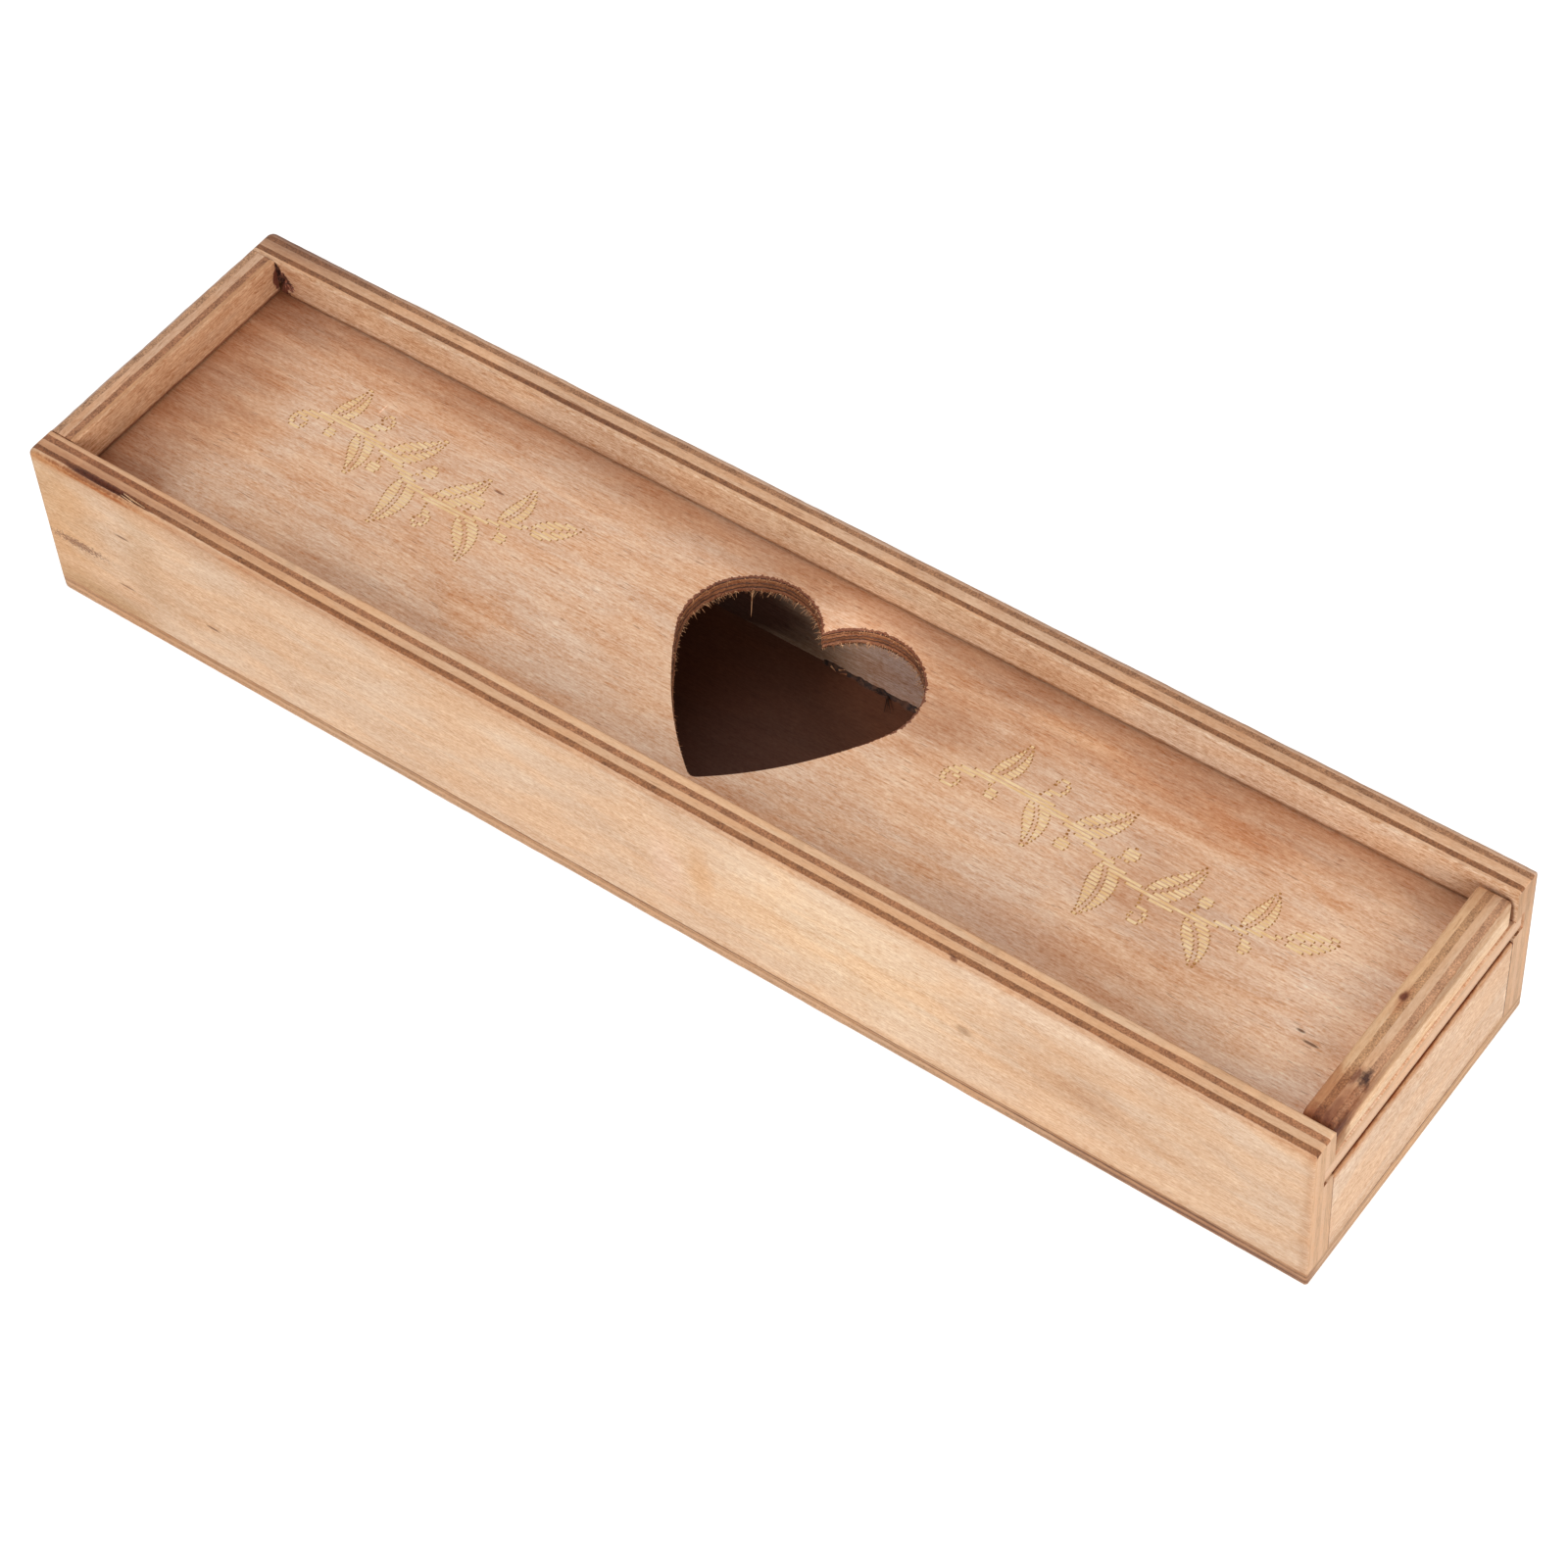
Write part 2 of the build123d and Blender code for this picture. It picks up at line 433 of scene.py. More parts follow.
front_marks = inner_face_marks((0.72, 0.64, 0.58)) + [
    # Yellowed far end and soiled foot
    mark(-108, 0, 20, (12, 2, 18), (0.93, 0.82, 0.66), 0.9),
    mark(-90, 0, 19, (4.5, 2, 14), (0.88, 0.84, 0.78), 0.7),
    mark(-102, 0, 3, (16, 2, 4.6), (0.74, 0.62, 0.46), 0.95, 0.8),
    mark(-84, 0, 11, (13, 2, 3.5), (0.93, 0.88, 0.82), 0.8, 0.9, 0.6),
    mark(60, 0, 2.6, (70, 2, 1.6), (0.86, 0.78, 0.70), 0.8, 0.7),
    # Paler and darker stretches
    mark(36, 0, 17, (26, 2, 15), (1.13, 1.19, 1.18), 0.9, 0.9),
    mark(70, 0, 17, (14, 2, 9), (0.87, 0.85, 0.84), 0.8),
    mark(78, 0, 15, (9, 2, 3.5), (0.86, 0.80, 0.76), 0.6),
    mark(12.3, 0, 17.5, (2.6, 2, 6.5), (0.92, 0.80, 0.66), 0.8),
    mark(6.3, 0, 15, (3.6, 2, 9), (1.05, 1.05, 1.12), 0.9),
    mark(96, 0, 16, (22, 2, 20), (0.87, 0.87, 0.88), 0.9, 0.9),
    mark(half_length, 0, 14, (1.7, 2, FAR_REACH), (0.84, 0.76, 0.70), 0.9, 0.7),
    # Wear along the rim
    mark(0, 0.1, 29.6, (FAR_REACH, 0.7, 0.95), (0.80, 0.67, 0.58), 0.95, 0.9, 0.3, (0.3, 0.6, 1.0)),
    mark(-100, 0.1, 29.7, (15, 0.7, 1.1), (0.90, 0.78, 0.60), 1.0, 0.9, 0.6, (0.5, 0.6, 1.0)),
    mark(-70, 0, 28.5, (50, 0.6, 2.6), (0.88, 0.80, 0.74), 0.9, 0.9),
    # Flecks, a dent and scratches
    mark(-69, 0, 26.8, (1.9, 1, 0.35), (1.15, 1.18, 1.25), 0.9, 0.7, 0.4, (0.6, 1, 2)),
    mark(56, 0, 15, (1.6, 1, 1.1), (0.62, 0.58, 0.55), 0.9, 0.8, 0.5, (0.8, 1, 1.5)),
    mark(54.6, 0.2, 29.7, (0.7, 0.5, 0.4), (0.40, 0.30, 0.26), 1.0, 0.6, 0.4, (1, 1, 1)),
    mark(-103.8, 0, 13.2, (5.2, 1, 0.9), (0.46, 0.38, 0.36), 1.0, 0.5, 2.4, (2.0, 1, 4.0)),
    mark(-77.6, 0, 10.8, (1.4, 1, 0.3), (0.35, 0.25, 0.20), 1.0, 0.6, 0.4, (1, 1, 3)),
    mark(-93.4, 0, 21, (1.7, 1, 0.28), (0.35, 0.25, 0.20), 0.9, 0.6, 0.4, (1, 1, 3)),
    mark(-94.9, 0, 9.2, (1.8, 1, 0.28), (0.42, 0.30, 0.24), 0.9, 0.6, 0.4, (1, 1, 3)),
    # Scorching in and round the hollow in the rim
    mark(-96.5, 1.2, rim, (8, 0.6, 3), (0.44, 0.31, 0.31), 1.0, 0.5, 0.5, (2.2, 2.5, 2.2)),
    mark(-95, 1.2, rim, (15, 0.8, 3), (0.72, 0.60, 0.54), 0.95, 0.7, 0.5, (1.2, 2.5, 2.2)),
    mark(-99, 0.4, 29.8, (10, 0.4, 0.3), (0.58, 0.42, 0.33), 1.0, 0.5, 0.9, (2.0, 1.5, 2.5)),
    mark(-96, 0, 29.4, (9, 0.35, 0.4), (0.78, 0.56, 0.40), 1.0, 0.6, 0.9, (1.2, 1.0, 2.4)),
    mark(-52, 1.0, rim, (34, 0.5, 2), (0.80, 0.70, 0.60), 0.9, 0.8),
    mark(-85, 4.3, rim, (30, 1.0, 2.5), (0.90, 0.81, 0.76), 0.9, 0.9),
    mark(-92, 2.2, rim, (28, 0.9, 2.5), (0.70, 0.60, 0.56), 0.95, 0.9),
    mark(-107, 2.4, rim, (17, 3.5, 2.5), (0.86, 0.80, 0.78), 0.95, 0.9),
    mark(-92, 3.4, rim, (14, 0.7, 2.5), (0.74, 0.62, 0.52), 0.95, 0.8),
]
back_marks = inner_face_marks((0.80, 0.90, 1.0)) + [
    # Inside: painted shade, dark towards the far end, and a painted patch of light behind the window
    mark(121, board, 8, (121.5, 2.0, 15.4), (0.14, 0.088, 0.083), 1.0, 0.1, 0.04),
    mark(-18, board, base_top, (22, 2.0, 19.0), (1.19, 1.18, 1.40), 1.0, 0.6, 0.1),
    # Rim: painted shade greys its rounded outer edge, most towards the far corner, and darker bands run
    # along its plies
    mark(0, 0.2, rim, (FAR_REACH, 0.8, 1.6), (0.86, 0.80, 0.78), 0.9, 0.7, 0.3),
    mark(104, 1.0, rim, (24, 1.5, 2), (0.57, 0.48, 0.44), 0.95, 0.9),
    mark(104, 2.8, rim, (14, 1.4, 2), (0.62, 0.51, 0.45), 0.9, 0.9),
    mark(108, 0.4, rim, (24, 0.7, 2), (0.62, 0.56, 0.58), 0.95, 0.9),
    mark(48, 3.9, rim, (16, 0.5, 2), (0.70, 0.62, 0.58), 0.9, 0.6),
    # Inner face above the lid, torn at its far end
    mark(104, board, 26, (10, 1, 7), (0.82, 0.72, 0.66), 0.8, 0.9),
    mark(104.4, board, 25.7, (1.9, 2.0, 2.7), (0.26, 0.13, 0.12), 1.0, 0.2, 0.9, (1.6, 0.5, 1.2)),
    mark(0, board, 27, (9, 0.7, 3), (1.04, 1.02, 1.04), 0.8, 0.9),
    mark(-90, board, 27, (30, 0.7, 4), (1.12, 1.14, 1.16), 0.9, 0.9),
    mark(42, board, 24.3, (60, 0.7, 1.2), (0.92, 0.88, 0.86), 0.9, 0.9, 0.5),
    # Painted shade in the narrow gap beside the finger strip's end
    mark(-108.6, board, 25.2, (1.1, 0.5, 3.2), (0.34, 0.22, 0.16), 1.0, 0.3, 0.2),
]
far_marks = inner_face_marks((0.84, 0.87, 0.94)) + [
    # Painted shade in the seam above the lid, painted light on the face above it, most near the front
    # corner, painted shade on the rim's rounded outer edge, and the torn corner
    mark(0, board, GROOVE_CEILING, (FAR_REACH, 0.9, 0.5), (0.68, 0.58, 0.58), 1.0, 0.7, 0.2),
    mark(19.5, board, 26.5, (5, 0.7, 4), (1.40, 1.45, 1.50), 0.9, 0.9),
    mark(0, board, 27, (FAR_REACH, 0.7, 6), (1.08, 1.12, 1.17), 0.9, 0.7),
    mark(14, board, 25.5, (12, 0.7, 4), (1.12, 1.17, 1.20), 0.9, 0.9),
    mark(0, 0, rim, (FAR_REACH, 0.7, 2), (0.80, 0.76, 0.80), 0.9, 0.9, 0.3),
    mark(-22.2, board, 26.4, (0.8, 2.0, 2.4), (0.26, 0.13, 0.12), 1.0, 0.2, 0.9, (1.6, 0.5, 1.2)),
]
near_marks = inner_face_marks((0.8, 0.72, 0.66)) + [
    # Outer face, its foot and its top edge, and painted shade on its top face in the gap under the lid
    mark(0, 0, 10, (FAR_REACH, 2, FAR_REACH), (1.05, 1.06, 1.08), 1.0, 0.9),
    mark(0, 0, base_top, (FAR_REACH, 2, 1.5), (0.84, 0.76, 0.68), 0.9, 0.8),
    mark(0, 0, near_high.z, (FAR_REACH, 2, 1.2), (0.74, 0.56, 0.42), 0.95, 0.8),
    mark(0, 2.9, near_high.z, (FAR_REACH, 2.75, 0.6), (0.74, 0.44, 0.27), 1.0, 0.15, 0.3, (0.4, 0.6, 0.6)),
    # Joints with the two sides
    mark(-22.5, 0, 11, (0.2, 1, FAR_REACH), (0.50, 0.38, 0.30), 1.0, 0.4, 0.5, (1.0, 1, 0.7)),
    mark(22.5, 0, 11, (0.24, 1, FAR_REACH), (0.28, 0.18, 0.14), 1.0, 0.3, 0.7, (1.0, 1, 0.7)),
    mark(22.0, 0, 8.4, (0.3, 1, 1.3), (1.25, 1.35, 1.45), 0.9, 0.4, 0.4, (1.0, 1, 0.7)),
]
strip_marks = [
    # Outer face, paler below and browner above
    mark(0, 0, 25.2, (FAR_REACH, 0.3, 3.0), (1.12, 1.12, 1.06), 1.0, 0.6),
    mark(0, 0, 28.2, (FAR_REACH, 0.4, 1.7), (0.66, 0.57, 0.48), 1.0, 0.5, 0.2, (0.3, 0.6, 1.0)),
    mark(-17, 0, 28.5, (9, 0.4, 1.7), (0.78, 0.64, 0.55), 1.0, 0.7),
    mark(17, 0, 28.2, (9, 0.4, 1.4), (1.22, 1.25, 1.28), 1.0, 0.7),
    # Scorched front end, dark back end and a burnt spot
    mark(-20.8, 0, 27, (3.4, 0.8, 5), (0.42, 0.29, 0.18), 1.0, 0.7, 0.5, (0.5, 0.8, 0.8)),
    mark(22.1, 2.5, 26, (0.3, 4, 4), (0.50, 0.36, 0.28), 0.9, 0.7, 0.2),
    mark(-18.6, 3.1, 29.6, (7.0, 4.0, 7), (0.70, 0.52, 0.42), 1.0, 0.5, 0.6, (0.5, 0.8, 0.8)),
    mark(-21.8, 2.9, 28, (2.3, 4.4, 5), (0.55, 0.38, 0.31), 1.0, 0.7, 0.8, (0.8, 0.8, 0.8)),
    mark(-19.5, 1.7, 29.3, (3.6, 0.7, 1.5), (0.62, 0.52, 0.50), 1.0, 0.7, 1.0, (0.7, 1, 1)),
    mark(-12.9, 1.0, 29.3, (1.7, 0.9, 1.6), (0.13, 0.10, 0.11), 1.0, 0.8, 1.0, (1.1, 1.3, 1.3)),
    mark(-13.6, 2.2, 29.3, (1.6, 0.6, 1.6), (0.45, 0.34, 0.32), 1.0, 0.8, 1.2, (0.9, 1.3, 1.3)),
    mark(-14.4, 0.4, 28.8, (0.9, 0.5, 0.8), (0.40, 0.26, 0.20), 1.0, 0.8, 0.8, (0.9, 1.3, 1.3)),
    # Dark fleck, back end and foot
    mark(0.6, 3.6, 29.3, (1.0, 0.6, 1.2), (0.30, 0.16, 0.12), 1.0, 0.6, 0.5, (0.8, 0.8, 0.8)),
    mark(0.0, 3.5, 29.3, (3.2, 0.8, 1.2), (0.72, 0.52, 0.42), 0.9, 0.9),
    mark(21, 3.4, 29.6, (5, 2.8, 1.6), (0.74, 0.64, 0.58), 0.9, 0.8),
    mark(0, 0, strip_low.z, (FAR_REACH, 2, 0.3), (0.74, 0.64, 0.56), 0.95, 0.8, 0.4),
]
lid_marks = [
    # Darker, browner far end and long edges: partly stain, partly painted shade where the recess's walls
    # shade the lid
    mark(-109, 0, 0, (18, 3, FAR_REACH), (0.45, 0.28, 0.18), 0.95, 0.95, 0.5, (0.06, 0.5, 0.5)),
    mark(-102, 0, -22, (13, 3, 6), (0.50, 0.36, 0.27), 0.95, 0.9, 0.4, (0.1, 0.5, 0.5)),
    mark(0, 0, 24.5, (FAR_REACH, 3, 9.5), (0.55, 0.44, 0.37), 0.95, 0.9, 0.35, (0.05, 0.5, 0.5)),
    mark(0, 0, -25, (FAR_REACH, 3, 7.5), (0.78, 0.66, 0.58), 0.9, 0.9, 0.35, (0.05, 0.5, 0.5)),
    # Darker and paler stretches of the veneer, with partly painted shade along the back edge and painted
    # light beside the strip
    mark(-60, 0, -17.5, (18, 3, 3), (0.82, 0.76, 0.72), 0.8, 0.8, 1.3, (0.08, 0.5, 1.6)),
    mark(-35, 0, -14, (9, 3, 5), (1.10, 1.13, 1.15), 0.9, 0.9, 0.6, (0.05, 0.5, 0.4)),
    mark(60, 0, -15.5, (18, 3, 5), (0.84, 0.76, 0.74), 0.7, 0.8, 0.9, (0.05, 0.5, 0.4)),
    mark(68, 0, 1, (15, 3, 9), (0.82, 0.77, 0.76), 0.9, 0.9, 0.9, (0.07, 0.5, 1.2)),
    mark(36, 0, 10, (22, 3, 9), (0.90, 0.83, 0.77), 0.9, 0.9, 0.6),
    # Along the back edge: partly stain, partly painted shade of the back side
    mark(36, 0, 22.5, (46, 3, 3), (0.82, 0.76, 0.70), 0.8, 0.9, 0.5),
    mark(64, 0, 15.5, (22, 3, 4.5), (0.84, 0.70, 0.60), 0.9, 0.8, 0.9, (0.05, 0.5, 0.4)),
    mark(26, 0, 9, (8, 3, 7), (0.80, 0.68, 0.60), 0.9, 0.8, 0.6),
    mark(-33, 0, 2, (18, 3, 12), (1.07, 1.10, 1.12), 0.9, 0.9, 0.5),
    mark(40, 0, -4, (12, 3, 5), (1.08, 1.12, 1.14), 0.8, 0.9, 0.5),
    mark(44, 0, 17.5, (9, 3, 2.2), (1.16, 1.20, 1.18), 0.8, 0.8, 0.5),
    # Beside the strip: painted light where the strip shades the lid
    mark(98, 0, -4, (15, 3, 21), (1.12, 1.20, 1.28), 0.9, 0.9, 0.3),
    mark(-93, 0, 0, (8, 3, 12), (0.86, 0.74, 0.64), 0.8, 0.9, 0.5),
    # Flecks and a scratch
    mark(95.8, 0, -7.8, (0.8, 1, 0.25), (0.3, 0.24, 0.2), 1.0, 0.5, 0.3, (1, 1, 3)),
    mark(97.9, 0, -8.9, (1.4, 1, 0.25), (0.3, 0.24, 0.2), 1.0, 0.5, 0.3, (1, 1, 3)),
    mark(-51, 0, 8.5, (1.1, 1, 0.25), (0.4, 0.28, 0.22), 1.0, 0.5, 0.3, (1, 1, 3)),
    mark(-76, 0, 12, (0.16, 1, 1.3), (1.35, 1.40, 1.50), 0.9, 0.5, 0.2, (1, 1, 1)),
]
bottom_marks = [
    # Inner face: painted shade of the closed box, darker still towards the far end, and a painted patch of
    # light under the window
    mark(0, 0, 0, (170, 0.35, 34), (0.172, 0.098, 0.078), 1.0, 0.3, 0.1),
    mark(-34, 0, 0, (38, 0.35, 34), (0.85, 0.72, 0.66), 1.0, 0.5, 0.2),
    mark(26, 0, 2, (18, 0.35, 26), (2.5, 2.6, 2.5), 1.0, 0.8, 0.3),
    # Edges, and streaks along their layers
    mark(96, 1.4, -half_width, (34, 1.6, 3), (0.50, 0.40, 0.36), 1.0, 0.8, 0.5, (0.3, 0.9, 0.6)),
    mark(-90, 1.5, -half_width, (30, 3, 3), (0.94, 0.86, 0.78), 0.8, 0.8, 0.4),
    mark(0, 0.3, -half_width, (FAR_REACH, 0.45, 1.5), (0.86, 0.78, 0.71), 0.8, 0.8, 0.8, (0.1, 0.8, 0.8)),
    mark(72, 0.55, -half_width, (36, 0.16, 1.5), (0.40, 0.28, 0.22), 1.0, 0.4, 0.5, (0.3, 0.9, 0.9)),
    mark(94, 1.15, -half_width, (22, 0.16, 1.5), (1.45, 1.55, 1.5), 1.0, 0.5, 0.4, (0.3, 0.9, 0.9)),
    mark(96, 1.8, -half_width, (26, 0.16, 1.5), (0.55, 0.42, 0.34), 1.0, 0.4, 0.4, (0.3, 0.9, 0.9)),
    mark(half_length, 1.3, 5, (2.5, 4, 26), (1.17, 1.18, 1.12), 0.9, 0.8),
]

front_finish = wood(
    "front_side_plywood", FRONT, board, WALL_LAYERS, CALM_GRAIN, front_marks,
    drift=(-105.0, -42.0, 0.55, 0.0),
)
back_finish = wood("back_side_plywood", BACK, board, BACK_LAYERS, RAISED_GRAIN, back_marks)
far_finish = wood("far_end_plywood", FAR_END, board, END_LAYERS, RAISED_GRAIN, far_marks)
near_finish = wood(
    "near_end_plywood", NEAR_END, board, WALL_LAYERS, {**CALM_GRAIN, "Flecks": 1.7}, near_marks,
)
lid_finish = wood("lid_plywood", LID, lid_thickness, LID_LAYERS, LIVELY_GRAIN, lid_marks)
bottom_finish = wood(
    "bottom_plywood", BOTTOM, base_top, BOTTOM_LAYERS, CALM_GRAIN, bottom_marks,
    waver=0.3, stipple=0.6,
)
strip_finish = wood(
    "strip_plywood", STRIP, board, STRIP_LAYERS, CALM_GRAIN, strip_marks, waver=0.12, stipple=0.75,
)
front_cut_finish = wood(
    "front_side_cut_across", FRONT, board, CUT_ACROSS_LAYERS, CUT_GRAIN, stipple=0.3,
)
back_cut_finish = wood(
    "back_side_cut_across", BACK, board, CUT_ACROSS_LAYERS, CUT_GRAIN,
    [mark(-half_length, 2.5, rim, (4, 6, 9), (0.82, 0.76, 0.70), 1.0, 0.8)], stipple=0.3,
)
lid_cut_finish = wood("lid_cut_across", LID, lid_thickness, LID_CUT_LAYERS, CUT_GRAIN, stipple=0.3)
window_finish = wood(
    "sawn_window", LID, lid_thickness, WINDOW_LAYERS, WINDOW_GRAIN, waver=0.5, within=1.0,
)


def plain_wood(name, dark, light, pace):
    """Finish of small torn or engraved places, in two shades that follow the grain."""
    material, t, shader = new_material(name)
    tone = t.spread(t.noise(board_place(t, 0, 0), pace, 3.0, 0.65), 0.35, 0.65)
    t.put(shader.inputs["Base Color"], t.mix(tone, dark, light))
    bump = t.add("ShaderNodeBump", {"Height": tone, "Distance": TORN_RELIEF * MM})
    t.put(shader.inputs["Normal"], bump.outputs[0])
    shader.inputs["Roughness"].default_value = 0.7
    shader.inputs["Specular IOR Level"].default_value = 0.3
    return material


engraved_finish = plain_wood("engraved_straw", srgb(240, 196, 138), srgb(254, 224, 176), (0.5, 3.0, 3.0))
burnt_finish = plain_wood("engraved_burn", srgb(146, 90, 38), srgb(206, 150, 88), (2.0, 2.0, 2.0))
fray_finish = plain_wood("frayed_fibre", srgb(142, 88, 56), srgb(232, 178, 132), (1.0, 1.0, 1.0))
sliver_finish = plain_wood("pale_sliver", srgb(204, 160, 122), srgb(240, 202, 164), (0.6, 2.0, 2.0))
torn_finish = plain_wood("torn_wood", srgb(62, 31, 24), srgb(138, 84, 62), (1.5, 1.5, 1.5))
glue_and_shadow_finish = plain_wood("glue_dust_and_shadow", srgb(38, 21, 15), srgb(88, 56, 40), (1.5, 1.5, 1.5))


# Shaping
# Places closer than NEAR count as the same, and TRIM keeps the sanded block just inside the box.
NEAR = 1e-3
TRIM = 2e-4
SHARP_FROM = math.radians(30)


def on_circle(angle, radius=1.0):
    return Vector((math.cos(angle), math.sin(angle))) * radius


def edges_where(bm, test):
    return [e for e in bm.edges if all(test(v.co) for v in e.verts)]


def edge_span(edge, axis):
    """How far an edge reaches along an axis."""
    return abs(edge.verts[0].co[axis] - edge.verts[1].co[axis])


def round_edges(bm, edges, radius, segments):
    bmesh.ops.bevel(
        bm, geom=list(dict.fromkeys(edges)), offset=radius, segments=segments, profile=0.5,
        affect="EDGES", offset_type="OFFSET", material=-1, clamp_overlap=False,
    )


def slice_part(bm, geometry, axis, at):
    """Slices some of a shape across an axis, without parting it."""
    normal = Vector((0, 0, 0))
    normal[axis] = 1
    bmesh.ops.bisect_plane(bm, geom=geometry, dist=1e-5, plane_co=normal * at, plane_no=normal)


def slice_along(bm, axis, step):
    """Slices across the long runs of a piece, so that its edges can be worn unevenly."""
    places = [v.co[axis] for v in bm.verts]
    low, high = min(places), max(places)
    for number in range(1, int((high - low) / step)):
        slice_part(bm, bm.verts[:] + bm.edges[:] + bm.faces[:], axis, low + number * step)


def slice_faces(bm, inside, axis, places):
    """Slices only the faces that pass the test inside, at places along an axis."""
    for at in places:
        faces = [f for f in bm.faces if inside(f)]
        edges = list(dict.fromkeys(e for f in faces for e in f.edges))
        verts = list(dict.fromkeys(v for f in faces for v in f.verts))
        slice_part(bm, verts + edges + faces, axis, at)


def wear(bm, amount, seed):
    """Sinks the rounded edges unevenly, as hand sanding leaves them."""
    bm.normal_update()
    shift = Vector((seed * 17.3, seed * 5.1, 0))
    limits = [(min(v.co[n] for v in bm.verts), max(v.co[n] for v in bm.verts)) for n in range(3)]
    for v in bm.verts:
        flat = max(abs(part) for part in v.normal) > 0.97
        at_joint = abs(v.co.z - base_top) < 0.3
        if flat or at_joint:
            continue
        slow = noise.noise(v.co * 0.12 + shift)
        quick = noise.noise(v.co * 0.7 + shift)
        v.co -= v.normal * amount * max(0.0, 0.35 + 0.8 * slow + 0.45 * quick)
        v.co = [min(max(part, low), high) for part, (low, high) in zip(v.co, limits)]


def mark_sharp(bm):
    """Shades a shape smooth, apart from its corners and open edges."""
    for face in bm.faces:
        face.smooth = True
    for edge in bm.edges:
        edge.smooth = len(edge.link_faces) == 2 and edge.calc_face_angle(0) < SHARP_FROM


def to_mesh(name, bm, materials=()):
    mesh = bpy.data.meshes.new(name)
    bm.to_mesh(mesh)
    bm.free()
    for material in materials:
        mesh.materials.append(material)
    return mesh


def put_in_scene(name, data):
    thing = bpy.data.objects.new(name, data)
    bpy.context.scene.collection.objects.link(thing)
    return thing


def finish_piece(name, bm, body, slot, materials, *nodes):
    """Turns a shape in millimetres into a piece that rides on a body."""
    mark_sharp(bm)
    bmesh.ops.scale(bm, vec=(MM, MM, MM), verts=bm.verts[:])
    piece = put_in_scene(name, to_mesh(name, bm, materials))
    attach(piece, body)
    if nodes:
        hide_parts(*nodes)


def section(bm, outline, start, stop):
    """Extrudes a section of (depth, height) points along X from start to stop."""
    verts = [bm.verts.new((start, depth, height)) for depth, height in outline]
    face = bm.faces.new(verts)
    made = bmesh.ops.extrude_face_region(bm, geom=[face])
    moved = [g for g in made["geom"] if isinstance(g, bmesh.types.BMVert)]
    bmesh.ops.translate(bm, vec=(stop - start, 0, 0), verts=moved)
    bmesh.ops.recalc_face_normals(bm, faces=bm.faces[:])


def block(low, high):
    """A plain block between two corners, to be rounded and cut."""
    bm = bmesh.new()
    bmesh.ops.create_cube(bm, size=1.0)
    size = Vector(high) - Vector(low)
    bmesh.ops.scale(bm, vec=size, verts=bm.verts[:])
    bmesh.ops.translate(bm, vec=Vector(low) + size / 2, verts=bm.verts[:])
    return bm


def turn_about_z(bm, quarter_turns):
    matrix = Matrix.Rotation(math.radians(90 * quarter_turns), 3, "Z")
    bmesh.ops.rotate(bm, cent=(0, 0, 0), matrix=matrix, verts=bm.verts[:])


def stand(bm, quarter_turns, outer):
    """Moves a board from its own place to its wall, outer millimetres from the middle."""
    bmesh.ops.translate(bm, vec=(0, -outer, 0), verts=bm.verts[:])
    turn_about_z(bm, quarter_turns)


def lay_back(bm, quarter_turns, outer):
    """Moves a board from its wall to its own place, the reverse of stand."""
    turn_about_z(bm, -quarter_turns)
    bmesh.ops.translate(bm, vec=(0, outer, 0), verts=bm.verts[:])


def inside_of(bm, envelope):
    """The part of a shape that lies inside another object."""
    piece = put_in_scene("uncut", to_mesh("uncut", bm))
    change = piece.modifiers.new("cut", "BOOLEAN")
    change.operation = "INTERSECT"
    change.solver = "EXACT"
    change.object = envelope
    graph = bpy.context.evaluated_depsgraph_get()
    cut = bmesh.new()
    cut.from_mesh(piece.evaluated_get(graph).to_mesh())
    bpy.data.objects.remove(piece)
    return cut


# Walls
# Each is shaped in its own place: X along it, Y the depth from its outer face and Z up.
# Before it is cut by the sanded block, a board stands out of it by a spare millimetre.
SPARE = 1.0
LOW_WALL_CHAMFER = 0.2
FACED, CUT_ACROSS, TORN = range(3)
WALL_WEAR = 0.12
BOTTOM_WEAR = 0.16
STRIP_WEAR = 0.1

# The burnt hollow in the front side's rim: where it starts and stops along X, how far its middle
# is from the outer face, half its width and its depth
TRENCH_START, TRENCH_STOP = -103.0, -86.0
TRENCH_MIDDLE, TRENCH_HALF, TRENCH_DEPTH = 1.05, 0.25, 0.38

# The torn corner: how deep and how wide it can be, and for each of its walls pairs of height and
# how far the wall is torn along there
TEAR_DEPTH = 1.25
WIDEST_TEAR = 3.2
BACK_TEAR = [(GROOVE_CEILING, 1.6), (25.6, 2.2), (26.8, 2.1), (27.5, 1.5), (28.3, 0.8), (29.6, 0.15)]
END_TEAR = [(GROOVE_CEILING, 0.15), (24.8, 0.5), (25.8, 1.0), (27.2, 0.8), (28.4, 0.5), (29.4, 0.2)]


def rim_corner(height, angles=(0, 30, 60, 90)):
    """Section points round a wall's inner top corner, from the inner face to the top."""
    middle = Vector((board - RIM_ROUND, height - RIM_ROUND))
    return [tuple(middle + on_circle(math.radians(angle), RIM_ROUND)) for angle in angles]


# Sections of the walls, as points of depth and height. A wall's foot leans out past the joint.
FOOT = [(-SPARE, base_top + EASED + SPARE), (EASED, base_top), (board, base_top)]
GROOVED_WALL = FOOT + [
    (board, GROOVE_FLOOR), (board - GROOVE_DEPTH, GROOVE_FLOOR),
    (board - GROOVE_DEPTH, GROOVE_CEILING), (board, GROOVE_CEILING),
] + rim_corner(rim, (0, 30, 60)) + [(board - 2.5, rim + SPARE), (-SPARE, rim + SPARE)]
LOW_WALL = FOOT + rim_corner(near_high.z) + [
    (LOW_WALL_CHAMFER, near_high.z), (-SPARE, near_high.z - LOW_WALL_CHAMFER - SPARE),
]


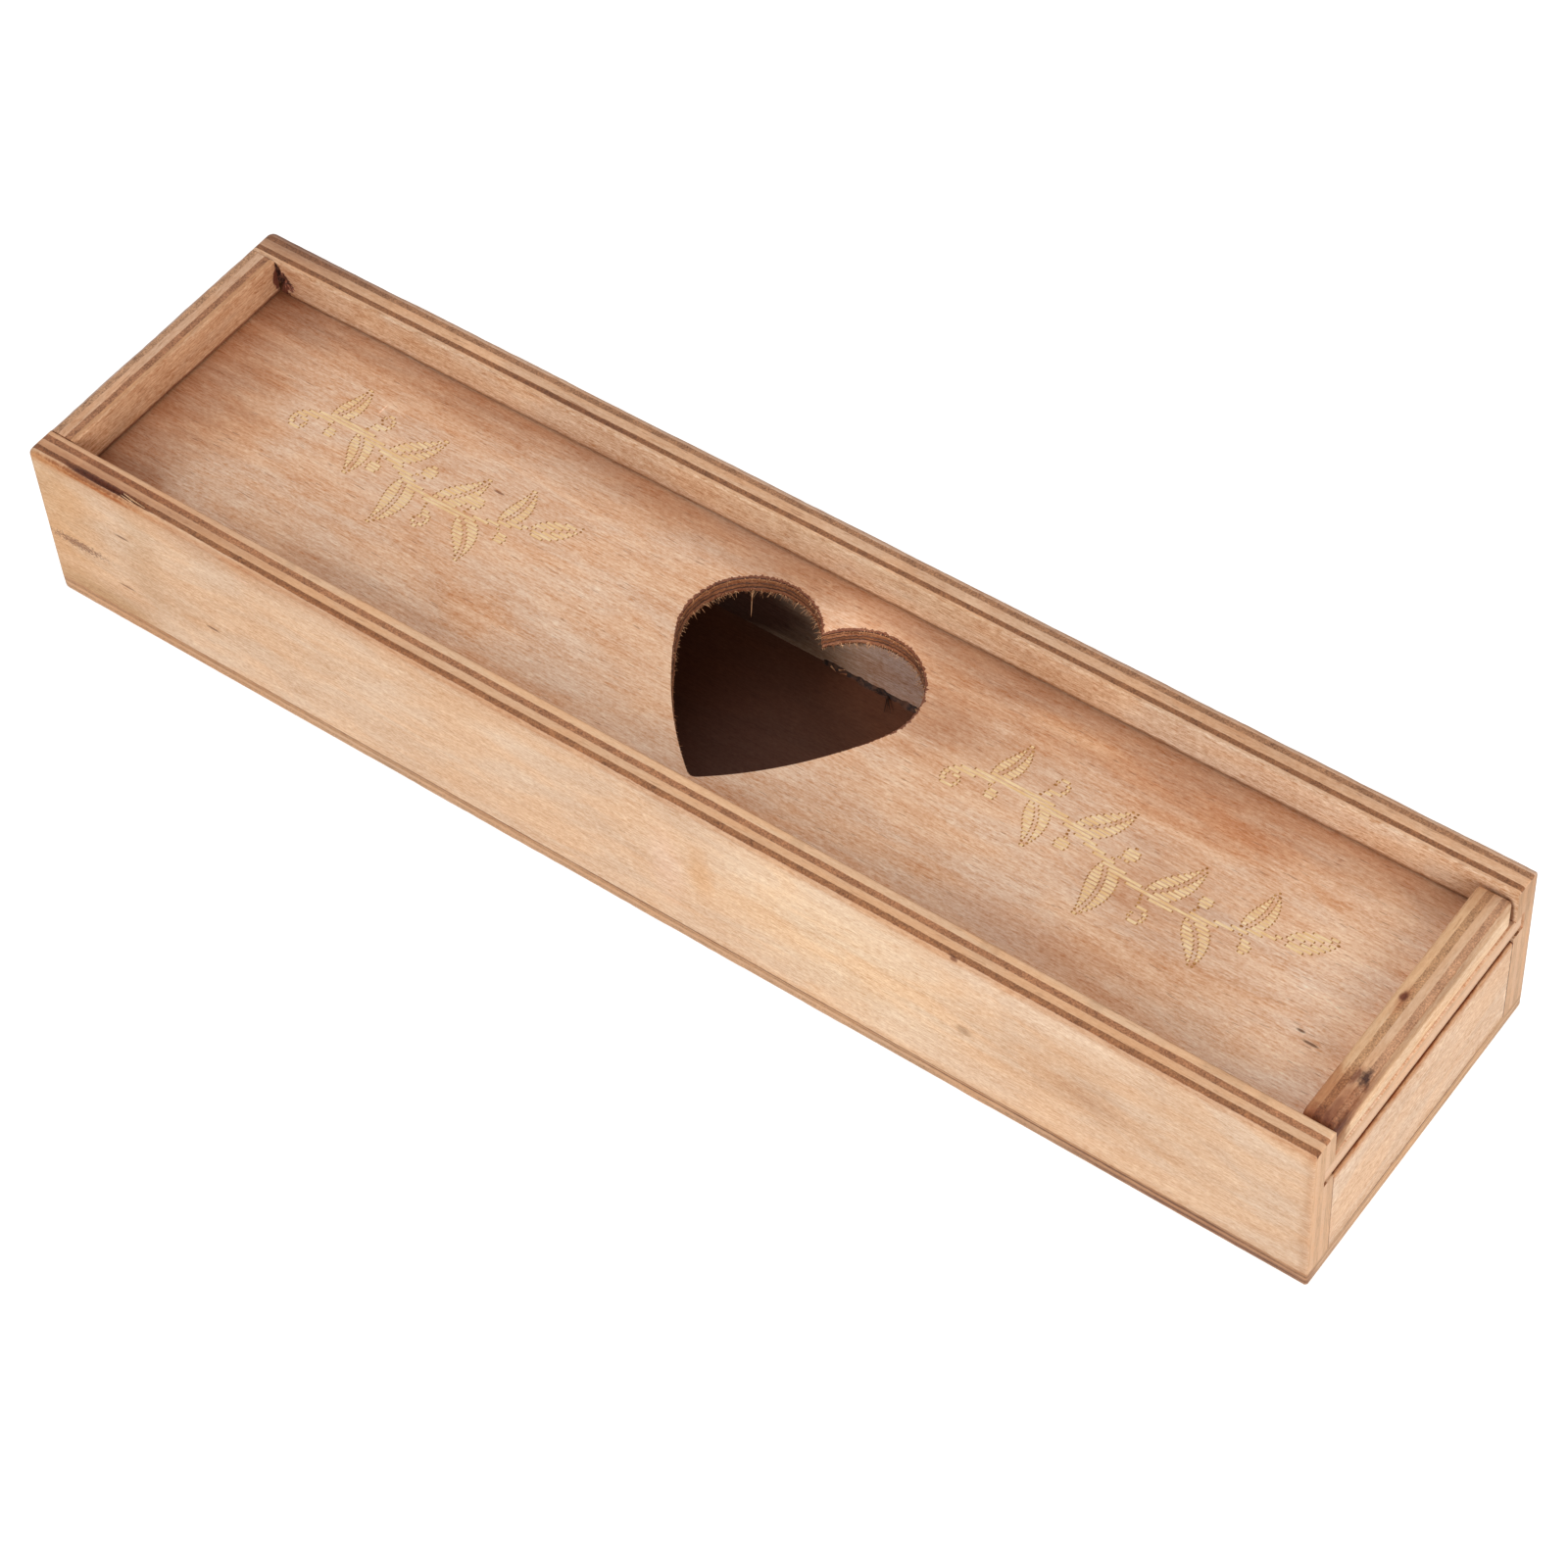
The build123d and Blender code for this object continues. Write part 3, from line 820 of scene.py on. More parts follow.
def corner_chain(bm, x, y):
    """The upright corner of the sanded block at x, y, with the mitres above and below it."""
    def near_corner(c):
        off_x, off_y = abs(c.x - x), abs(c.y - y)
        return max(off_x, off_y) < OUTER_ROUND + NEAR and abs(off_x - off_y) < NEAR
    return edges_where(bm, near_corner)


def sanded_block():
    """Outside of the glued box. It is sanded as one, so its boards share these round edges."""
    bm = block((-half_length, -half_width, 0), (half_length, half_width, rim))

    def on_near_end(edge):
        return all(v.co.x > half_length - NEAR for v in edge.verts)

    for test, radius, segments in (
        (lambda c: c.z > rim - NEAR, OUTER_ROUND, 6), (lambda c: c.z < NEAR, CORNER_ROUND, 4),
    ):
        round_edges(bm, [e for e in edges_where(bm, test) if not on_near_end(e)], radius, segments)
    for y in (-half_width, half_width):
        round_edges(bm, corner_chain(bm, -half_length, y), OUTER_ROUND, 5)
    round_edges(bm, [e for e in bm.edges if on_near_end(e)], SAWN_ROUND, 3)
    limits = ((-half_length, half_length), (-half_width, half_width), (0, rim))
    for v in bm.verts:
        v.co = [min(max(part, low + TRIM), high - TRIM) for part, (low, high) in zip(v.co, limits)]
    return put_in_scene("sanded_block", to_mesh("sanded_block", bm))


def scorched_trench(bm):
    """Shallow burnt hollow along the front side's rim, near its far end."""
    for depth in (0.6, 0.85, 1.25, 1.5):
        slice_part(bm, bm.verts[:] + bm.edges[:] + bm.faces[:], 1, depth)
    for v in bm.verts:
        along = (v.co.x - TRENCH_START) / (TRENCH_STOP - TRENCH_START)
        if 0 < along < 1 and v.co.z > rim - 0.4 and abs(v.co.y - TRENCH_MIDDLE) < TRENCH_HALF:
            fade = math.sin(math.pi * along) ** 0.5
            v.co.z -= fade * (TRENCH_DEPTH + 0.25 * noise.noise(v.co * 0.9))


def torn_hollow(bm, corner, side, reaches):
    """Breaks a ragged hollow out of a wall's inner face, to one side of a corner.

    Reaches are pairs of height and how far the hollow goes along the wall there.
    """
    low = reaches[0][0]

    def inside(face):
        middle = face.calc_center_median()
        beside = abs(middle.x - corner) < WIDEST_TEAR + 0.5
        return face.normal.y > 0.9 and middle.z > low - 0.3 and beside

    bm.normal_update()
    slice_faces(bm, inside, 0, [corner + side * 0.2 * number for number in range(-7, 17)])
    slice_faces(bm, inside, 2, [low + 0.3 * number for number in range(1, 20)])

    def depth_at(v):
        along = (v.co.x - corner) * side
        on_face = abs(v.co.y - board) <= 0.01
        if not (on_face and -1.5 <= along <= WIDEST_TEAR and v.co.z >= low - 0.01):
            return 0.0
        reach = 0.0
        for (z0, r0), (z1, r1) in zip(reaches, reaches[1:]):
            if z0 <= v.co.z <= z1:
                reach = r0 + (r1 - r0) * (v.co.z - z0) / (z1 - z0)
        reach *= 1.0 + 0.5 * noise.noise(v.co * 1.7)
        if reach <= 0 or along > reach:
            return 0.0
        share = math.sqrt(1.0 - max(along, 0) / reach)
        return TEAR_DEPTH * share * (0.85 + 0.5 * noise.noise(v.co * 2.3))

    depths = {v: depth_at(v) for v in bm.verts}
    for face in bm.faces:
        if all(depths[v] > 0.05 or v.co.z < low + 0.01 for v in face.verts) and inside(face):
            face.material_index = TORN
    for v, depth in depths.items():
        v.co.y -= depth


def wall(outline, reach, place, envelope, seed, step=1.0, trench=False, hollow=None):
    """A board between -reach and reach, sanded with the box, its ends marked as cut across."""
    bm = bmesh.new()
    section(bm, outline, -reach, reach)
    stand(bm, *place)
    bm = inside_of(bm, envelope)
    lay_back(bm, *place)
    slice_along(bm, 0, step)
    if trench:
        scorched_trench(bm)
    wear(bm, WALL_WEAR, seed)
    bm.normal_update()
    for face in bm.faces:
        is_end = abs(face.normal.x) > 0.8 and face.calc_area() > 2
        face.material_index = CUT_ACROSS if is_end else FACED
    if hollow:
        torn_hollow(bm, *hollow)
    stand(bm, *place)
    return bm


def bottom_board(envelope):
    spare = Vector((SPARE, SPARE, 0))
    bm = block(bottom_low - spare - Vector((0, 0, SPARE)), bottom_high + spare)
    round_edges(bm, edges_where(bm, lambda c: c.z > base_top - NEAR), EASED + SPARE, 1)
    bm = inside_of(bm, envelope)
    slice_along(bm, 0, 1.3)
    slice_along(bm, 1, 1.8)
    wear(bm, BOTTOM_WEAR, seed=5)
    return bm


def strip_board():
    """The finger strip, rounded at its top corners and eased all round."""
    bm = block(strip_low, strip_high)
    ends = [e for e in edges_where(bm, lambda c: c.z > strip_high.z - NEAR) if edge_span(e, 0) > 1]
    round_edges(bm, ends, STRIP_CORNER_ROUND, 6)
    rims = []
    for side in (strip_low.x, strip_high.x):
        rims += edges_where(bm, lambda c: abs(c.x - side) < NEAR and c.z > strip_low.z + NEAR)
        rims += [e for e in edges_where(bm, lambda c: abs(c.x - side) < NEAR) if edge_span(e, 2) > 2]
    round_edges(bm, rims, STRIP_EDGE_ROUND, 4)
    slice_along(bm, 1, 0.7)
    wear(bm, STRIP_WEAR, seed=6)
    return bm


def make_box():
    envelope = sanded_block()
    long = half_length + SPARE
    front = wall(GROOVED_WALL, long, FRONT, envelope, seed=1, step=0.7, trench=True)
    back = wall(GROOVED_WALL, long, BACK, envelope, seed=2, hollow=(inner_end, -1, BACK_TEAR))
    far = wall(GROOVED_WALL, inner_half, FAR_END, envelope, seed=3, hollow=(-inner_half, 1, END_TEAR))
    near = wall(LOW_WALL, inner_half, NEAR_END, envelope, seed=4)
    bottom = bottom_board(envelope)
    bpy.data.objects.remove(envelope)

    for node, bm, slot, finishes in (
        ("front_side", front, "side_boards", [front_finish, front_cut_finish]),
        ("back_side", back, "side_boards", [back_finish, back_cut_finish, torn_finish]),
        ("far_end", far, "end_boards", [far_finish, far_finish, torn_finish]),
        ("near_end", near, "end_boards", [near_finish, near_finish]),
        ("bottom_panel", bottom, "bottom", [bottom_finish]),
    ):
        finish_piece(node + "_board", bm, "box", slot, finishes, node)


# Engraving
# Burnt in rows along the lid, as an engraver's beam scans it. A row is a set of slots.
ROW_PITCH = 0.62
SLOT_RADIUS = 0.2
SLOT_DEPTH = 0.1
SLOT_TAPER = 0.02
BURN_LENGTH = 0.26
UNBURNT_GAP = 0.24
VEIN_HALF = 0.17
STEM_HALF = 0.75
STALK_HALF = 0.25
SMALL_STEP = 1e-3


def way_along(line, t, step=SMALL_STEP):
    """The way that a line(t) runs at t, with t from 0 to 1."""
    return line(min(t + step, 1)) - line(max(t - step, 0))


def ribbon(centre, half_thick, steps):
    """Outline of a stroke along centre(t), half_thick(t) to each side, with t from 0 to 1."""
    left, right = [], []
    for number in range(steps + 1):
        t = number / steps
        across = way_along(centre, t).orthogonal().normalized() * half_thick(t)
        left.append(centre(t) + across)
        right.append(centre(t) - across)
    return left + right[::-1]


def half_leaves(root, heading, length, width, bend):
    """The two halves of a pointed leaf, with a bare vein between them."""
    start = math.radians(heading)

    def centre(t):
        return root + on_circle(start + bend * t, length * t)

    halves = []
    for side in (-1, 1):
        vein, leaf_edge = [], []
        for t in (number / 18 for number in range(19)):
            across = way_along(centre, t).orthogonal().normalized() * side
            bulge = math.sin(math.pi * t ** 0.75) ** 0.85 * width / 2
            vein.append(centre(t) + across * VEIN_HALF)
            leaf_edge.append(centre(t) + across * (VEIN_HALF + 0.02 + bulge))
        halves.append(vein + leaf_edge[::-1])
    return halves


def tendril(middle, start, turns, outer, inner, thick):
    """Spiral stroke that starts thick at its outer end and thins towards its middle."""
    def centre(t):
        angle = math.radians(start) + math.tau * turns * t
        return middle + on_circle(angle, outer + (inner - outer) * t ** 0.8)

    return ribbon(centre, lambda t: thick * (1.0 - 0.6 * t), 48)


def berry(middle, radius):
    return [middle + on_circle(math.tau * n / 12, radius) for n in range(12)]


def sprig(left, right, level, swing, leaves=7):
    """Outlines of a long sprig: a waving stem that thins out, with leaves, berries and curls."""
    def stem(t):
        return Vector((left + (right - left) * t, level + swing * math.sin(math.tau * t + 0.4)))

    def stem_heading(t):
        way = way_along(stem, t, 0.01)
        return math.degrees(math.atan2(way.y, way.x))

    shapes = [ribbon(stem, lambda t: STEM_HALF - 0.35 * t, 200)]
    for number in range(leaves):
        t = (number + 0.6) / (leaves + 0.4)
        root, heading = stem(t), stem_heading(t)
        side = 1 if number % 2 == 0 else -1
        size = 1.0 - 0.25 * abs(2 * t - 1)
        shapes += half_leaves(root, heading + side * 36, 10.2 * size, 4.2 * size, side * 0.5)
        heading -= side * 64
        off = on_circle(math.radians(heading))
        stalk = 2.8 * size
        shapes.append(ribbon(lambda u: root + off * stalk * u, lambda u: STALK_HALF, 8))
        if number % 3 == 1:
            shapes.append(tendril(root + off * (stalk + 1.6), heading + 180, -1.1 * side, 1.7, 0.5, 0.5))
        else:
            shapes.append(berry(root + off * (stalk + 0.8), 1.35 * size))
    shapes += half_leaves(stem(1.0), stem_heading(1.0), 8.0, 3.4, 0.2)
    shapes.append(tendril(stem(0.0) + Vector((0.2, -1.9)), 90, 1.2, 1.9, 0.5, 0.6))
    return shapes


def spans_at(shapes, height):
    """Where a row at a height starts and ends inside each outline."""
    spans = []
    for shape in shapes:
        crossings = []
        for a, b in zip(shape, shape[1:] + shape[:1]):
            if (a.y > height) != (b.y > height):
                crossings.append(a.x + (height - a.y) / (b.y - a.y) * (b.x - a.x))
        crossings.sort()
        spans += zip(crossings[::2], crossings[1::2])
    return sorted(spans)


def engraved_slots(shapes):
    """Start, end and height of each slot that the rows burn inside the outlines."""
    low = min(point.y for shape in shapes for point in shape)
    high = max(point.y for shape in shapes for point in shape)
    slots = []
    for row in range(int((high - low) / ROW_PITCH)):
        height = low + (row + 0.5) * ROW_PITCH
        joined = []
        for start, end in spans_at(shapes, height):
            middle = (start + end) / 2
            reach = max(end - start, 2.2 * SLOT_RADIUS) / 2
            start, end = middle - reach, middle + reach
            if joined and start < joined[-1][1] + UNBURNT_GAP:
                joined[-1][1] = max(joined[-1][1], end)
            else:
                joined.append([start, end])
        slots += [(start, end, height) for start, end in joined]
    return slots


def burn_slots(bm, slots, level):
    """Cuts the slots as open pits, straw along the middle and burnt at both ends."""
    round_end = [on_circle(math.radians(angle), SLOT_RADIUS) for angle in (-90, -45, 0, 45, 90)]
    floors = []

    def add_floor(verts, material):
        floors.append(bm.faces.new(verts))
        floors[-1].material_index = material

    for start, end, height in slots:
        left, right = [
            [bm.verts.new((at + side * point.x, height + point.y, level)) for point in round_end]
            for side, at in ((-1, start + SLOT_RADIUS), (1, end - SLOT_RADIUS))
        ]
        if end - start < 2 * BURN_LENGTH + 0.1:
            add_floor(right + left[::-1], BURNT)
            continue
        near_left, far_left, far_right, near_right = [
            bm.verts.new((x, height + y, level))
            for x, y in (
                (start + BURN_LENGTH, -SLOT_RADIUS), (start + BURN_LENGTH, SLOT_RADIUS),
                (end - BURN_LENGTH, SLOT_RADIUS), (end - BURN_LENGTH, -SLOT_RADIUS),
            )
        ]
        add_floor([near_left, far_left] + left[::-1], BURNT)
        add_floor([near_left, near_right, far_right, far_left], ENGRAVED)
        add_floor([far_right, near_right] + right, BURNT)
    made = bmesh.ops.inset_region(
        bm, faces=floors, thickness=SLOT_TAPER, depth=-SLOT_DEPTH, use_boundary=True,
        use_even_offset=True,
    )
    for side in made["faces"]:
        side.material_index = BURNT if abs(side.normal.x) > 0.5 else ENGRAVED


# Lid
PLYWOOD, ENGRAVED, BURNT, SAWN, LID_END = range(5)
HEART = Vector((4.15, -0.3))
HEART_HEIGHT = 35.55
LOBE_RADIUS = 10.25
LOBE_OUT = 8.9
NOTCH_ANGLE = math.radians(54)
FLANK_RADIUS = 61.0
TIP_RADIUS = 1.3

# The window's sawn wall, from the top down: how deep, how far set back, and how rough
SAWN_WALL = [
    (0.0, 0.38, 0.0), (0.03, 0.06, 0.06), (0.14, 0.0, 0.06), (0.55, -0.02, 0.07),
    (0.66, 0.12, 0.08), (1.2, 0.14, 0.1), (1.32, 0.02, 0.1), (1.8, 0.1, 0.1),
    (1.95, 0.12, 0.1), (2.3, 0.06, 0.1), (2.42, -0.05, 0.14), (2.8, -0.06, 0.2), (3.0, 0.02, 0.2),
]


def arc(centre, radius, start, stop, step):
    """Points from one angle to another on a circle, the end left out."""
    count = max(1, round(abs(stop - start) * radius / step))
    return [centre + on_circle(start + (stop - start) * n / count, radius) for n in range(count)]


def heart_outline(step):
    """Points of the heart window, clockwise from its notch, in arcs like those of the lid's own."""
    lobe = Vector((LOBE_OUT, HEART_HEIGHT / 2 - LOBE_RADIUS))
    tip = Vector((0, TIP_RADIUS - HEART_HEIGHT / 2))
    rise = on_circle(NOTCH_ANGLE)
    lobe_start = lobe + Vector((-rise.y, rise.x)) * LOBE_RADIUS
    notch = lobe_start - rise * (lobe_start.x / rise.x)
    down = (tip - lobe).normalized()
    gap = (tip - lobe).length
    from_lobe, from_tip = FLANK_RADIUS - LOBE_RADIUS, FLANK_RADIUS - TIP_RADIUS
    along = (gap ** 2 + from_lobe ** 2 - from_tip ** 2) / (2 * gap)
    across = math.sqrt(from_lobe ** 2 - along ** 2)
    flank = lobe + down * along + Vector((down.y, -down.x)) * across

    def angle(vector):
        return math.atan2(vector.y, vector.x)

    lobe_end = angle(lobe - flank)
    tip_start = angle(tip - flank)
    half = [notch + (lobe_start - notch) * n / 8 for n in range(8)]
    half += arc(lobe, LOBE_RADIUS, NOTCH_ANGLE + math.pi / 2, lobe_end, step)
    half += arc(flank, FLANK_RADIUS, lobe_end, tip_start, step)
    half += arc(tip, TIP_RADIUS, tip_start, -math.pi / 2, step / 3)
    mirrored = [Vector((-point.x, point.y)) for point in half[1:]]
    return half + [tip - Vector((0, TIP_RADIUS))] + mirrored[::-1]


def top_chipping(point, spot):
    """Share of the top's set-back at a place: most on the lobes, and uneven."""
    lobes = min(max((point.y + 6) / 14, 0.1), 1)
    return lobes * (1.0 + noise.noise(spot * 2) + 0.45 * noise.noise(spot * 6))


def heart_wall(bm, outline):
    """The sawn wall of the window, from top to bottom, its plies set back unevenly."""
    count = len(outline)
    rings = []
    for down, back, rough in SAWN_WALL:
        ring = []
        for number, point in enumerate(outline):
            way = outline[(number + 1) % count] - outline[number - 1]
            away = Vector((-way.y, way.x)).normalized()
            spot = Vector((point.x * 1.6, point.y * 1.6, down * 2.0))
            shift = back + rough * (noise.noise(spot) + noise.noise(spot * 3.1))
            if down == 0:
                shift = max(shift * top_chipping(point, spot), 0.07)
            place = HEART + point + away * shift
            ring.append(bm.verts.new((place.x, place.y, lid_top - down)))
        rings.append([bm.edges.new((ring[n - 1], ring[n])) for n in range(count)])
    for upper, lower in zip(rings, rings[1:]):
        made = bmesh.ops.bridge_loops(bm, edges=upper + lower)
        for face in made["faces"]:
            face.material_index = SAWN
    return rings[0], rings[-1]


def lid_shape():
    bm = block(lid_low, lid_high)
    ends = [e for e in edges_where(bm, lambda c: c.x > lid_high.x - NEAR) if edge_span(e, 1) > 1]
    round_edges(bm, ends, LID_END_ROUND, 3)
    flats = [f for f in bm.faces if abs(f.normal.z) > 0.999 and f.calc_area() > 1000]
    loops = {f.normal.z > 0: f.edges[:] for f in flats}
    for face in bm.faces:
        face.material_index = LID_END if face.normal.x > 0.7 else PLYWOOD
    bmesh.ops.delete(bm, geom=flats, context="FACES_ONLY")
    top_ring, bottom_ring = heart_wall(bm, heart_outline(0.2))
    shapes = sprig(left=-85.0, right=-43.0, level=4.3, swing=2.6)
    shapes += sprig(left=34.0, right=86.0, level=2.3, swing=2.8)
    before = set(bm.edges)
    burn_slots(bm, engraved_slots(shapes), lid_top)
    slots = [e for e in bm.edges if e not in before and len(e.link_faces) == 1]
    bmesh.ops.triangle_fill(bm, edges=loops[True] + top_ring + slots, normal=(0, 0, 1), use_beauty=True)
    bmesh.ops.triangle_fill(bm, edges=loops[False] + bottom_ring, normal=(0, 0, -1), use_beauty=True)
    return bm


def make_lid():
    materials = [lid_finish, engraved_finish, burnt_finish, window_finish, lid_cut_finish]
    finish_piece("lid_board", lid_shape(), "lid", "lid", materials, "lid_panel")
    finish_piece("finger_strip", strip_board(), "lid", "strip", [strip_finish], "lid_strip")


# Torn and loose fibres
# Fuzz round the window: how far apart its fibres can be, the share of places that have one, the
# share of them at the lower edge, and the one long fibre that hangs in the window
FUZZ_PITCH = 0.045
FUZZ_SHARE = 0.62
LOW_SHARE = 0.65
HANGING_ROOT = Vector((-10.4, 15.4, 20.8))
HANGING_WAY = (0.45, -0.75, -0.4)

# Glue line: its section, where it starts, the root of a dark tuft whose hairs stand in for a
# fibre's shadow, each hair's way and length there, and each light hair's X, way and length
GLUE_BEAD = [(0, 0), (-0.8, 0), (-0.35, 0.35), (0, 0.8)]
GLUE_START = -3.8
DARK_TUFT = Vector((8.1, 21.6, base_top + 0.6))
DARK_TUFT_HAIRS = [((0.9, -0.9, 0.25), 3.4), ((0.5, -1.0, 0.1), 2.8), ((-1.0, -0.2, 0.3), 3.0)]
LIGHT_HAIRS = [
    (-2.2, (1.0, -0.5, 0.2), 1.5), (-0.8, (0.8, 0.1, 0.5), 1.2), (0.6, (-1.0, -0.6, 0.1), 1.0),
]

# Where each sliver lifts off the rim: X, depth and width, and how far it runs on and back
SLIVERS = [(-90.6, 1.3, 0.42, 3.0, 1.8), (-90.4, 0.85, 0.36, 1.6, 2.0)]

# Dark curls round the torn corner: how many, between which heights, and how far along the wall
CURLS = 16
CURL_LOW, CURL_HIGH = 24.9, 27.6
CURL_REACH = 2.6


def hair(bm, root, way, length, width, sag, turns=3, curl=0.0):
    """A tapering fibre with three sides. It leaves its root along way, sags, and may curl up."""
    way = Vector(way).normalized()
    tilt = way.to_track_quat("Z", "Y").to_matrix().to_4x4()
    ring = bmesh.ops.create_circle(
        bm, cap_ends=True, segments=3, radius=width / 2, matrix=Matrix.Translation(root) @ tilt,
    )
    loop = list(dict.fromkeys(e for v in ring["verts"] for e in v.link_edges))
    axis = way.orthogonal()
    thin = 0.25 ** (1.0 / turns)
    for step in range(turns):
        made = bmesh.ops.extrude_edge_only(bm, edges=loop)["geom"]
        verts = [g for g in made if isinstance(g, bmesh.types.BMVert)]
        loop = [g for g in made if isinstance(g, bmesh.types.BMEdge)]
        way = Quaternion(axis, curl / turns) @ way
        move = way * length / turns + Vector((0, 0, -sag * length * (step + 0.5) / turns ** 2))
        bmesh.ops.translate(bm, vec=move, verts=verts)
        middle = sum((v.co for v in verts), Vector()) / 3
        bmesh.ops.scale(bm, vec=(thin, thin, thin), space=Matrix.Translation(-middle), verts=verts)
    bm.faces.new(verts)


def frayed_heart():
    """Fuzz of cut fibres round the window, thickest on the lobes, and one long fibre hanging in it."""
    draw = random.Random(7)
    outline = heart_outline(FUZZ_PITCH)
    bm = bmesh.new()
    for number, point in enumerate(outline):
        way = outline[(number + 1) % len(outline)] - outline[number - 1]
        inward = Vector((way.y, -way.x, 0)).normalized()
        lobes = 0.2 + 0.8 * min(max((point.y + 4) / 14, 0), 1)
        patchy = 0.85 + 0.8 * noise.noise(Vector((point.x, point.y, 3)) * 0.6)
        if draw.random() > FUZZ_SHARE * lobes * patchy + 0.08:
            continue
        low = draw.random() < LOW_SHARE
        down = draw.uniform(2.4, 3.0) if low else draw.uniform(0.0, 0.5)
        root = Vector((HEART.x + point.x, HEART.y + point.y, lid_top - down)) - inward * 0.05
        lean = Vector((draw.gauss(0, 0.5), draw.gauss(0, 0.5), draw.gauss(-0.2, 0.3)))
        length = (0.2 + 0.95 * draw.random() ** 3) * (1.0 if low else 0.5) * (0.5 + 0.6 * lobes)
        hair(bm, root, inward + lean, length, draw.uniform(0.10, 0.17), draw.uniform(0, 0.8), 2)
    hair(bm, HANGING_ROOT, HANGING_WAY, length=3.4, width=0.3, sag=0.3, turns=5)
    bmesh.ops.recalc_face_normals(bm, faces=bm.faces[:])
    return bm


def glue_line():
    """Bead of glue and dust where the bottom meets the back side, seen through the window, with a dark
    tuft that stands in for a fibre's shadow.
    """
    bm = bmesh.new()
    section(bm, GLUE_BEAD, GLUE_START, inner_end)
    slice_along(bm, 0, 0.45)
    for v in bm.verts:
        lumps = 0.7 + 0.7 * noise.noise(v.co * 0.8) + 0.25 * noise.noise(v.co * 3.0)
        v.co.y *= max(0.5, lumps)
        v.co.z *= max(0.5, lumps)
    bmesh.ops.translate(bm, vec=(0, inner_half, base_top), verts=bm.verts[:])
    # Dark hairs that stand in for a fibre's shadow
    for way, length in DARK_TUFT_HAIRS:
        hair(bm, DARK_TUFT, way, length, width=0.4, sag=0.2, turns=5)
    dark = set(bm.faces)
    for x, way, length in LIGHT_HAIRS:
        root = Vector((x, inner_half - 0.5, base_top + 0.5))
        hair(bm, root, way, length, width=0.38, sag=0.1)
    for face in bm.faces:
        face.material_index = 0 if face in dark else 1
    bmesh.ops.recalc_face_normals(bm, faces=bm.faces[:])
    return bm


def splinters():
    """Pale slivers lifted off the front side's rim, and dark curls round the torn corner."""
    bm = bmesh.new()
    for x, depth, width, on, back in SLIVERS:
        root = Vector((x, depth - half_width, rim - 0.15))
        hair(bm, root, (1.0, -0.09, 0.01), on, width, sag=0.02, turns=4)
        hair(bm, root, (-1.0, 0.12, 0.01), back, width, sag=0.02, turns=4)
    for face in bm.faces:
        face.material_index = 1
    draw = random.Random(11)
    for number in range(CURLS):
        height = draw.uniform(CURL_LOW, CURL_HIGH)
        reach = CURL_REACH - 0.7 * max(height - 26.4, 0)
        root = Vector((reach * draw.uniform(0.8, 1.05) - inner_end, inner_half + 0.04, height))
        lean = Vector((0.9 + draw.gauss(0, 0.4), -draw.uniform(0.4, 0.9), draw.gauss(0.3, 0.4)))
        length, curl = draw.uniform(2.0, 3.6), draw.uniform(3.5, 6.0)
        hair(bm, root, lean, length, width=0.36, sag=0.0, turns=9, curl=curl)
    for v in bm.verts:
        v.co.z = min(v.co.z, rim - 0.01)
        v.co.y = max(v.co.y, 0.01 - half_width)
    bmesh.ops.recalc_face_normals(bm, faces=bm.faces[:])
    return bm


def make_fibres():
    finish_piece("window_fray", frayed_heart(), "lid", "lid", [fray_finish])
    finish_piece("glue_line", glue_line(), "box", "bottom", [glue_and_shadow_finish, fray_finish])
    finish_piece("splinters", splinters(), "box", "side_boards", [torn_finish, sliver_finish])


make_box()
make_lid()
make_fibres()


# Camera and lamps
# Azimuths are degrees round from the front, elevations degrees up from the floor, and distances
# and sizes millimetres.
AIM = Vector((11.25, -6.93, 15.0))
CAMERA_DISTANCE = 593.96
AZIMUTH = 40.04
ELEVATION = 51.05
ROLL = -4.78
LENS = 97.85
SKY_LIGHT = 0.55
PAPER_GREY = 0.55
PAPER_GLOW = 0.75


def aim(thing, target, azimuth, elevation, distance):
    """Puts a lamp or the camera at a distance from its target, and turns it to face that."""
    around, up = math.radians(azimuth), math.radians(elevation)
    flat = math.cos(up)
    way = Vector((flat * math.sin(around), -flat * math.cos(around), math.sin(up)))
    thing.location = (target + way * distance) * MM
    thing.rotation_mode = "QUATERNION"
    thing.rotation_quaternion = (-way).to_track_quat("-Z", "Y")


def place_camera():
    camera = put_in_scene("camera", bpy.data.cameras.new("camera"))
    camera.data.lens = LENS
    camera.data.sensor_width = 36
    camera.data.clip_start = 0.05
    camera.data.clip_end = 20
    aim(camera, AIM, AZIMUTH, ELEVATION, CAMERA_DISTANCE)
    roll = Quaternion((0, 0, 1), math.radians(ROLL))
    camera.rotation_quaternion = camera.rotation_quaternion @ roll
    bpy.context.scene.camera = camera


def add_softbox(name, azimuth, elevation, distance, size, power):
    """A square lamp that faces the middle of the box's footprint."""
    lamp = bpy.data.lights.new(name, "AREA")
    lamp.shape = "SQUARE"
    lamp.size = size * MM
    lamp.energy = power
    aim(put_in_scene(name, lamp), Vector(), azimuth, elevation, distance)


